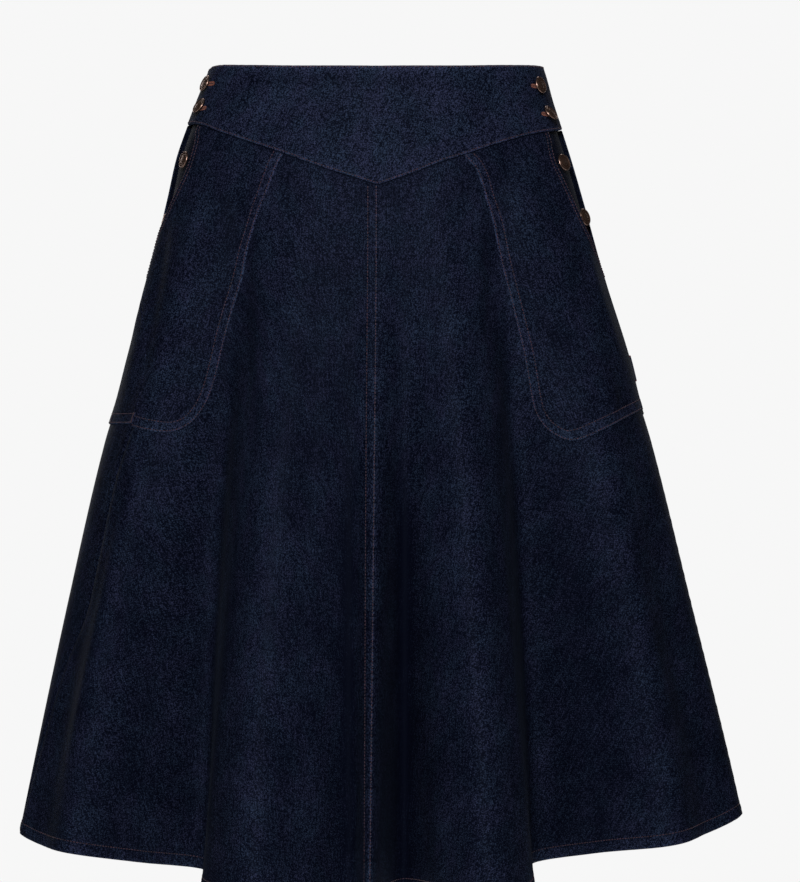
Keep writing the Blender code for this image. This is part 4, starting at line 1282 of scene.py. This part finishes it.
SEWING_PIECES = [
    ("stitching_centre_front", centre_rows(), THREAD),
    ("stitching_pockets", [row for node in SEWN_POCKETS for row in pocket_rows(node)], THREAD),
    ("stitching_yokes", [yoke_row(middle, False) for middle in (0, 180)], THREAD),
    ("stitching_waist", [yoke_row(middle, True) for middle in (0, 180)], FADED_THREAD),
    ("stitching_hem", [hem_row()], THREAD),
]
for seed, (name, rows, thread) in enumerate(SEWING_PIECES):
    piece = sewn(name, rows, STITCH_PITCH, STITCH_LENGTH, STITCH_RADIUS, thread, seed + 3)
    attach(piece, "root")

BARS = [edge_bar("back_pocket_right", 1.5 * MM), edge_bar("back_pocket_right", 42 * MM),
        edge_bar("front_pocket_left", 2 * MM), edge_bar("back_pocket_left", 3 * MM),
        mouth_bar("front_pocket_right"), mouth_bar("front_pocket_left")]
piece = sewn("stitching_bars", BARS, SATIN_PITCH, SATIN_LENGTH, SATIN_RADIUS, THREAD, 11)
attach(piece, "root")

# ================================================================ buttonholes
# Two worked holes at each end of the front yoke, in brighter thread. They run inwards from under the
# button, and close threads lie across their edge all the way round.
BUTTONHOLES = [
    # place              drop  around  inwards from there: mm, degrees and mm
    ("left_1",           19.0,  67.5,   9.2),
    ("left_2",           41.5,  68.8,   7.6),
    ("right_1",          16.0, -74.5,  11.0),
    ("right_2",          36.5, -71.0,   7.4),
]
HOLE_OUT, HOLE_HALF, HOLE_POINTS = 2.0 * MM, 0.95 * MM, 64


def buttonhole(drop, around, inwards):
    """A long loop on the yoke's face round the slit."""
    turns = np.linspace(0, 2 * math.pi, HOLE_POINTS)
    reach = (inwards + HOLE_OUT) / 2
    side = np.sign(np.cos(turns)) * np.abs(np.cos(turns)) ** 0.45 * reach
    rise = np.sign(np.sin(turns)) * np.abs(np.sin(turns)) ** 0.8 * HOLE_HALF
    inward = side + (inwards - HOLE_OUT) / 2
    degree = degree_length(around, drop)
    angle = around - np.sign(around) * inward / degree
    return row_on(*on_cloth(angle, drop + rise, np.full(len(turns), YOKE_PROUD)), across=True)


holes = [buttonhole(drop * MM, around, inwards * MM) for _, drop, around, inwards in BUTTONHOLES]
piece = sewn("buttonholes", holes, SATIN_PITCH, SATIN_LENGTH, SATIN_RADIUS, BRIGHT_THREAD, 17, lean=0.05)
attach(piece, "root")

# ================================================================ buttons
# Eight turned and stamped brass caps with an old copper finish, 14 mm across, on short shanks: two at
# each end of the yoke and two on each stand. A raised rim, a groove and a low ring go round a dome.
BUTTON_DIAMETER, BUTTON_SAG, CAP_UNDER = 14 * MM, 0.3 * MM, 1.8 * MM
BUTTON_SIDES = 40
BUTTON_PROFILE = [  # radius and height in mm, from the shank's foot to the crown
    (2.4, 0.0), (2.4, 1.65), (2.7, 1.8), (6.2, 1.85), (6.6, 1.95), (6.9, 2.15), (7.0, 2.4), (6.95, 2.65),
    (6.75, 2.92), (6.45, 3.1), (6.1, 3.14), (5.8, 3.03), (5.6, 2.82), (5.35, 2.72), (5.1, 2.78),
    (4.9, 2.98), (4.6, 3.12), (4.3, 3.1), (4.1, 3.0), (3.7, 3.06), (3.2, 3.2), (2.8, 3.38), (2.4, 3.46),
    (2.1, 3.4), (1.8, 3.42), (1.2, 3.56), (0.6, 3.64),
]
BUTTON_TOP = 3.66 * MM
BUTTONS = [
    # side, number, drop in mm, angle, turned sideways, tipped up
    ("left", 1, 18.5, 67.5, 0, 2), ("left", 2, 42, 68.8, 2, 22),
    ("left", 3, 79.3, 73.5, 14, 3), ("left", 4, 123, 80.8, 20, 0),
    ("right", 1, 16.8, -74.5, 0, 3), ("right", 2, 35.5, -71, 0, 14),
    ("right", 3, 77, -73.5, 0, 0), ("right", 4, 126.5, -85.5, 0, 0),
]


def old_copper():
    """Copper plate with a brown patina in the hollows, worn bright on the rims."""
    metal = Finish("old copper", Metallic=1.0, Specular_IOR_Level=0.5)
    place = metal.add("ShaderNodeTexCoord", {}, {}, 3)
    spots = metal.noise(metal.scaled(place, (900, 900, 900)), detail=3)
    patina = (metal.attribute("hollow") * 0.75 + spots * 0.7).above(0.25, 1.0)
    colour = metal.mixed(patina, (0.46, 0.30, 0.245, 1), (0.14, 0.066, 0.042, 1))
    bump = metal.bump(0.25, 0.1 * MM, spots)
    metal.feed(metal.shader, {"Base Color": colour, "Roughness": patina * 0.25 + 0.3, "Normal": bump})
    return metal.material


OLD_COPPER = old_copper()


def button(side, number, drop, around, turn, tip):
    """One button, seated on the yoke or the stand, turned and tipped on its shank."""
    under = YOKE_PROUD if number < 3 else -STAND_DEPTH
    raised = float(crease_height(around, drop * MM))
    foot = bare_point(around, drop * MM)
    normal = Vector(facing(bare_point, around, drop * MM))
    across = Vector((0, 0, 1)).cross(normal).normalized()
    leaned = Matrix.Rotation(math.radians(-tip), 4, across) @ normal
    leaned = Matrix.Rotation(math.radians(-turn * (1 if around > 0 else -1)), 4, "Z") @ leaned
    lean = leaned.angle(normal)
    dip = BUTTON_DIAMETER / 2 * math.sin(lean) - CAP_UNDER * math.cos(lean)
    seat = Vector(foot) + normal * (under + raised + SEAM_GAP + BUTTON_SAG + max(0, dip))
    place = Matrix.Translation(seat) @ leaned.to_track_quat("Z", "Y").to_matrix().to_4x4()
    rim = [(math.cos(t), math.sin(t)) for t in np.linspace(0, 2 * math.pi, BUTTON_SIDES, endpoint=False)]
    points = [(r * MM * x, r * MM * y, z * MM) for r, z in BUTTON_PROFILE for x, y in rim]
    points += [(0, 0, BUTTON_TOP), (0, 0, 0)]
    faces, count = [], BUTTON_SIDES
    for ring in range(len(BUTTON_PROFILE) - 1):
        for k in range(count):
            a, b = ring * count + k, ring * count + (k + 1) % count
            faces.append((a, b, b + count, a + count))
    top = (len(BUTTON_PROFILE) - 1) * count
    for k in range(count):
        faces.append((top + k, top + (k + 1) % count, len(points) - 2))
        faces.append(((k + 1) % count, k, len(points) - 1))
    mesh = bpy.data.meshes.new(f"metal_button_{side}_{number}")
    mesh.from_pydata([tuple(place @ Vector(p)) for p in points], [], faces)
    heights = np.array([z for _, z in BUTTON_PROFILE])
    smooth = np.convolve(np.pad(heights, 3, mode="edge"), np.ones(7) / 7, "valid")
    hollow = np.clip((smooth - heights) / 0.25 + 0.25, 0, 1)
    shade = np.concatenate([np.repeat(hollow, count), [0, 1]])
    mesh.attributes.new("hollow", "FLOAT", "POINT").data.foreach_set("value", shade)
    mesh.materials.append(OLD_COPPER)
    mesh.shade_smooth()
    return placed(mesh.name, mesh)


for row in BUTTONS:
    piece = button(*row)
    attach(piece, "root")
    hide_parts(f"button_{row[0]}_{row[1]}")

# ================================================================ side tab
# A plain loop of dark woven tape with a dark red edge, folded and caught in the side seam, so that it
# stands out of the wearer's left side.
TAB_TOP, TAB_HEIGHT = 235 * MM, 21 * MM
TAB_LENGTH, TAB_THICK = 9 * MM, 1.2 * MM
TAB_AT, TAB_LEAN = 90.6, 5
TAB_ENDS = np.array([0, 0.2, 0.5, 1.0, 1.6]) * MM  # its outer rows, pressed flatter than the rest
TAB_FLATTER = 0.72


def tape():
    """Dark ribbed tape whose edge threads are red."""
    cloth = Finish("dark tape", Roughness=0.8, Specular_IOR_Level=0.2, Sheen_Weight=0.2)
    cut = cloth.cut()
    edge = cloth.attribute("wear")
    rib = cloth.add("ShaderNodeTexWave", {"bands_direction": "Y"}, {"Vector": cut, "Scale": 560}, 1)
    colour = cloth.mixed(edge.above(0.35, 0.65), (0.012, 0.013, 0.028, 1), (0.13, 0.018, 0.022, 1))
    bump = cloth.bump(0.4, 0.2 * MM, rib)
    cloth.feed(cloth.shader, {"Base Color": colour, "Normal": bump})
    return cloth.material


def side_tab():
    """The two leaves of the loop with its folded end, swept down over the tab's height."""
    between = np.linspace(3.2 * MM, TAB_HEIGHT - 3.2 * MM, 8)
    drop = TAB_TOP + np.concatenate([TAB_ENDS, between, TAB_HEIGHT - TAB_ENDS[::-1]])
    half = TAB_THICK / 2
    bend = np.linspace(math.pi / 2, -math.pi / 2, 9)
    straight = np.linspace(0, TAB_LENGTH - half, 8)[:-1]
    along = np.concatenate([straight, TAB_LENGTH - half + half * np.cos(bend), straight[::-1]])
    height = np.concatenate([half + 0 * straight, half * np.sin(bend), -half + 0 * straight])
    _, deep = form_radii(TAB_AT, drop[:, None])
    around = TAB_AT + np.degrees(along / deep)
    root = SEAM_GAP * 2 + POCKET_THICK + half
    thin = np.interp(drop, drop[[0, 3, -4, -1]], [TAB_FLATTER, 1, 1, TAB_FLATTER])[:, None]
    off = root + along * math.tan(math.radians(TAB_LEAN)) + height * thin
    face = bare_point(around, drop[:, None]) + facing(bare_point, around, drop[:, None]) * off[..., None]
    index, quads = grid_faces(*face.shape[:2])
    faces = quads[:, ::-1].tolist()
    for row, way in ((0, -1), (-1, 1)):
        for k in range(len(index[row]) // 2):
            corners = index[row, [k, -1 - k, -2 - k, k + 1]].tolist()
            faces.append(list(dict.fromkeys(corners))[::way])  # two of them are one at the fold
    sewn_side = np.stack([index[:-1, -1], index[1:, -1], index[1:, 0], index[:-1, 0]], axis=1)
    faces += sewn_side.tolist()
    edge = fading(np.minimum(drop - drop[0], drop[-1] - drop), 1.3 * MM)[:, None]
    edge = np.maximum(edge, fading(TAB_LENGTH - along, 0.8 * MM))
    flat = np.stack(np.broadcast_arrays(along, -drop[:, None]), axis=-1).reshape(-1, 2)
    return cloth_object("woven_side_tab", face.reshape(-1, 3), faces, flat, edge.ravel(), tape())


piece = side_tab()
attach(piece, "root")
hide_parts("side_tab")

# ================================================================ floor and light
# A pale floor, as far down as it is under somebody who wears the skirt, a white surround, and soft
# studio light: a box high in front, a large one above the back and two weak ones behind the sides.
FLOOR_DROP, FLOOR_REACH = 1.02, 1.5
SURROUND, FILL = 0.93, 0.035
LIGHTS = [
    # name    power  size       place                aimed at
    ("key",   66.0, (0.7, 0.7), (-0.10, -2.85, 0.85), (0.0, 0.0, -0.33)),
    ("back",  24.0, (1.6, 1.6), (0.0, 2.4, 1.9),      (0.0, 0.0, -0.33)),
    ("rim 1",  5.0, (0.6, 1.4), (-1.3, 2.1, 0.1),     (-0.2, 0.0, -0.40)),
    ("rim 2",  2.5, (0.6, 1.4), (1.3, 2.1, 0.1),      (0.2, 0.0, -0.40)),
]

pale = Finish("pale floor", Base_Color=(0.88, 0.88, 0.88, 1), Roughness=0.8,
              Emission_Color=(1, 1, 1, 1), Emission_Strength=0.2)
mesh = bpy.data.meshes.new("floor")
rim = [(FLOOR_REACH * math.cos(t), FLOOR_REACH * math.sin(t), -FLOOR_DROP)
       for t in np.linspace(0, 2 * math.pi, 96, endpoint=False)]
mesh.from_pydata(rim, [], [list(range(len(rim)))])
mesh.materials.append(pale.material)
floor = placed("floor", mesh)

world = bpy.data.worlds.new("studio")
bpy.context.scene.world = world
world.use_nodes = True
nodes, links = world.node_tree.nodes, world.node_tree.links
seen = nodes["Background"]
seen.inputs["Color"].default_value = (SURROUND, SURROUND, SURROUND, 1)
fill = nodes.new("ShaderNodeBackground")
fill.inputs["Color"].default_value = (FILL, FILL, FILL, 1)
path = nodes.new("ShaderNodeLightPath")
either = nodes.new("ShaderNodeMixShader")
links.new(path.outputs["Is Camera Ray"], either.inputs[0])
links.new(fill.outputs[0], either.inputs[1])
links.new(seen.outputs[0], either.inputs[2])
links.new(either.outputs[0], nodes["World Output"].inputs["Surface"])

for name, power, size, place, target in LIGHTS:
    light = bpy.data.lights.new(name, "AREA")
    light.shape = "RECTANGLE"
    light.energy = power
    light.size, light.size_y = size
    lamp = placed(name, light)
    lamp.location = place
    lamp.rotation_euler = (Vector(place) - Vector(target)).to_track_quat("Z", "Y").to_euler()
bpy.context.scene.view_settings.view_transform = "Standard"
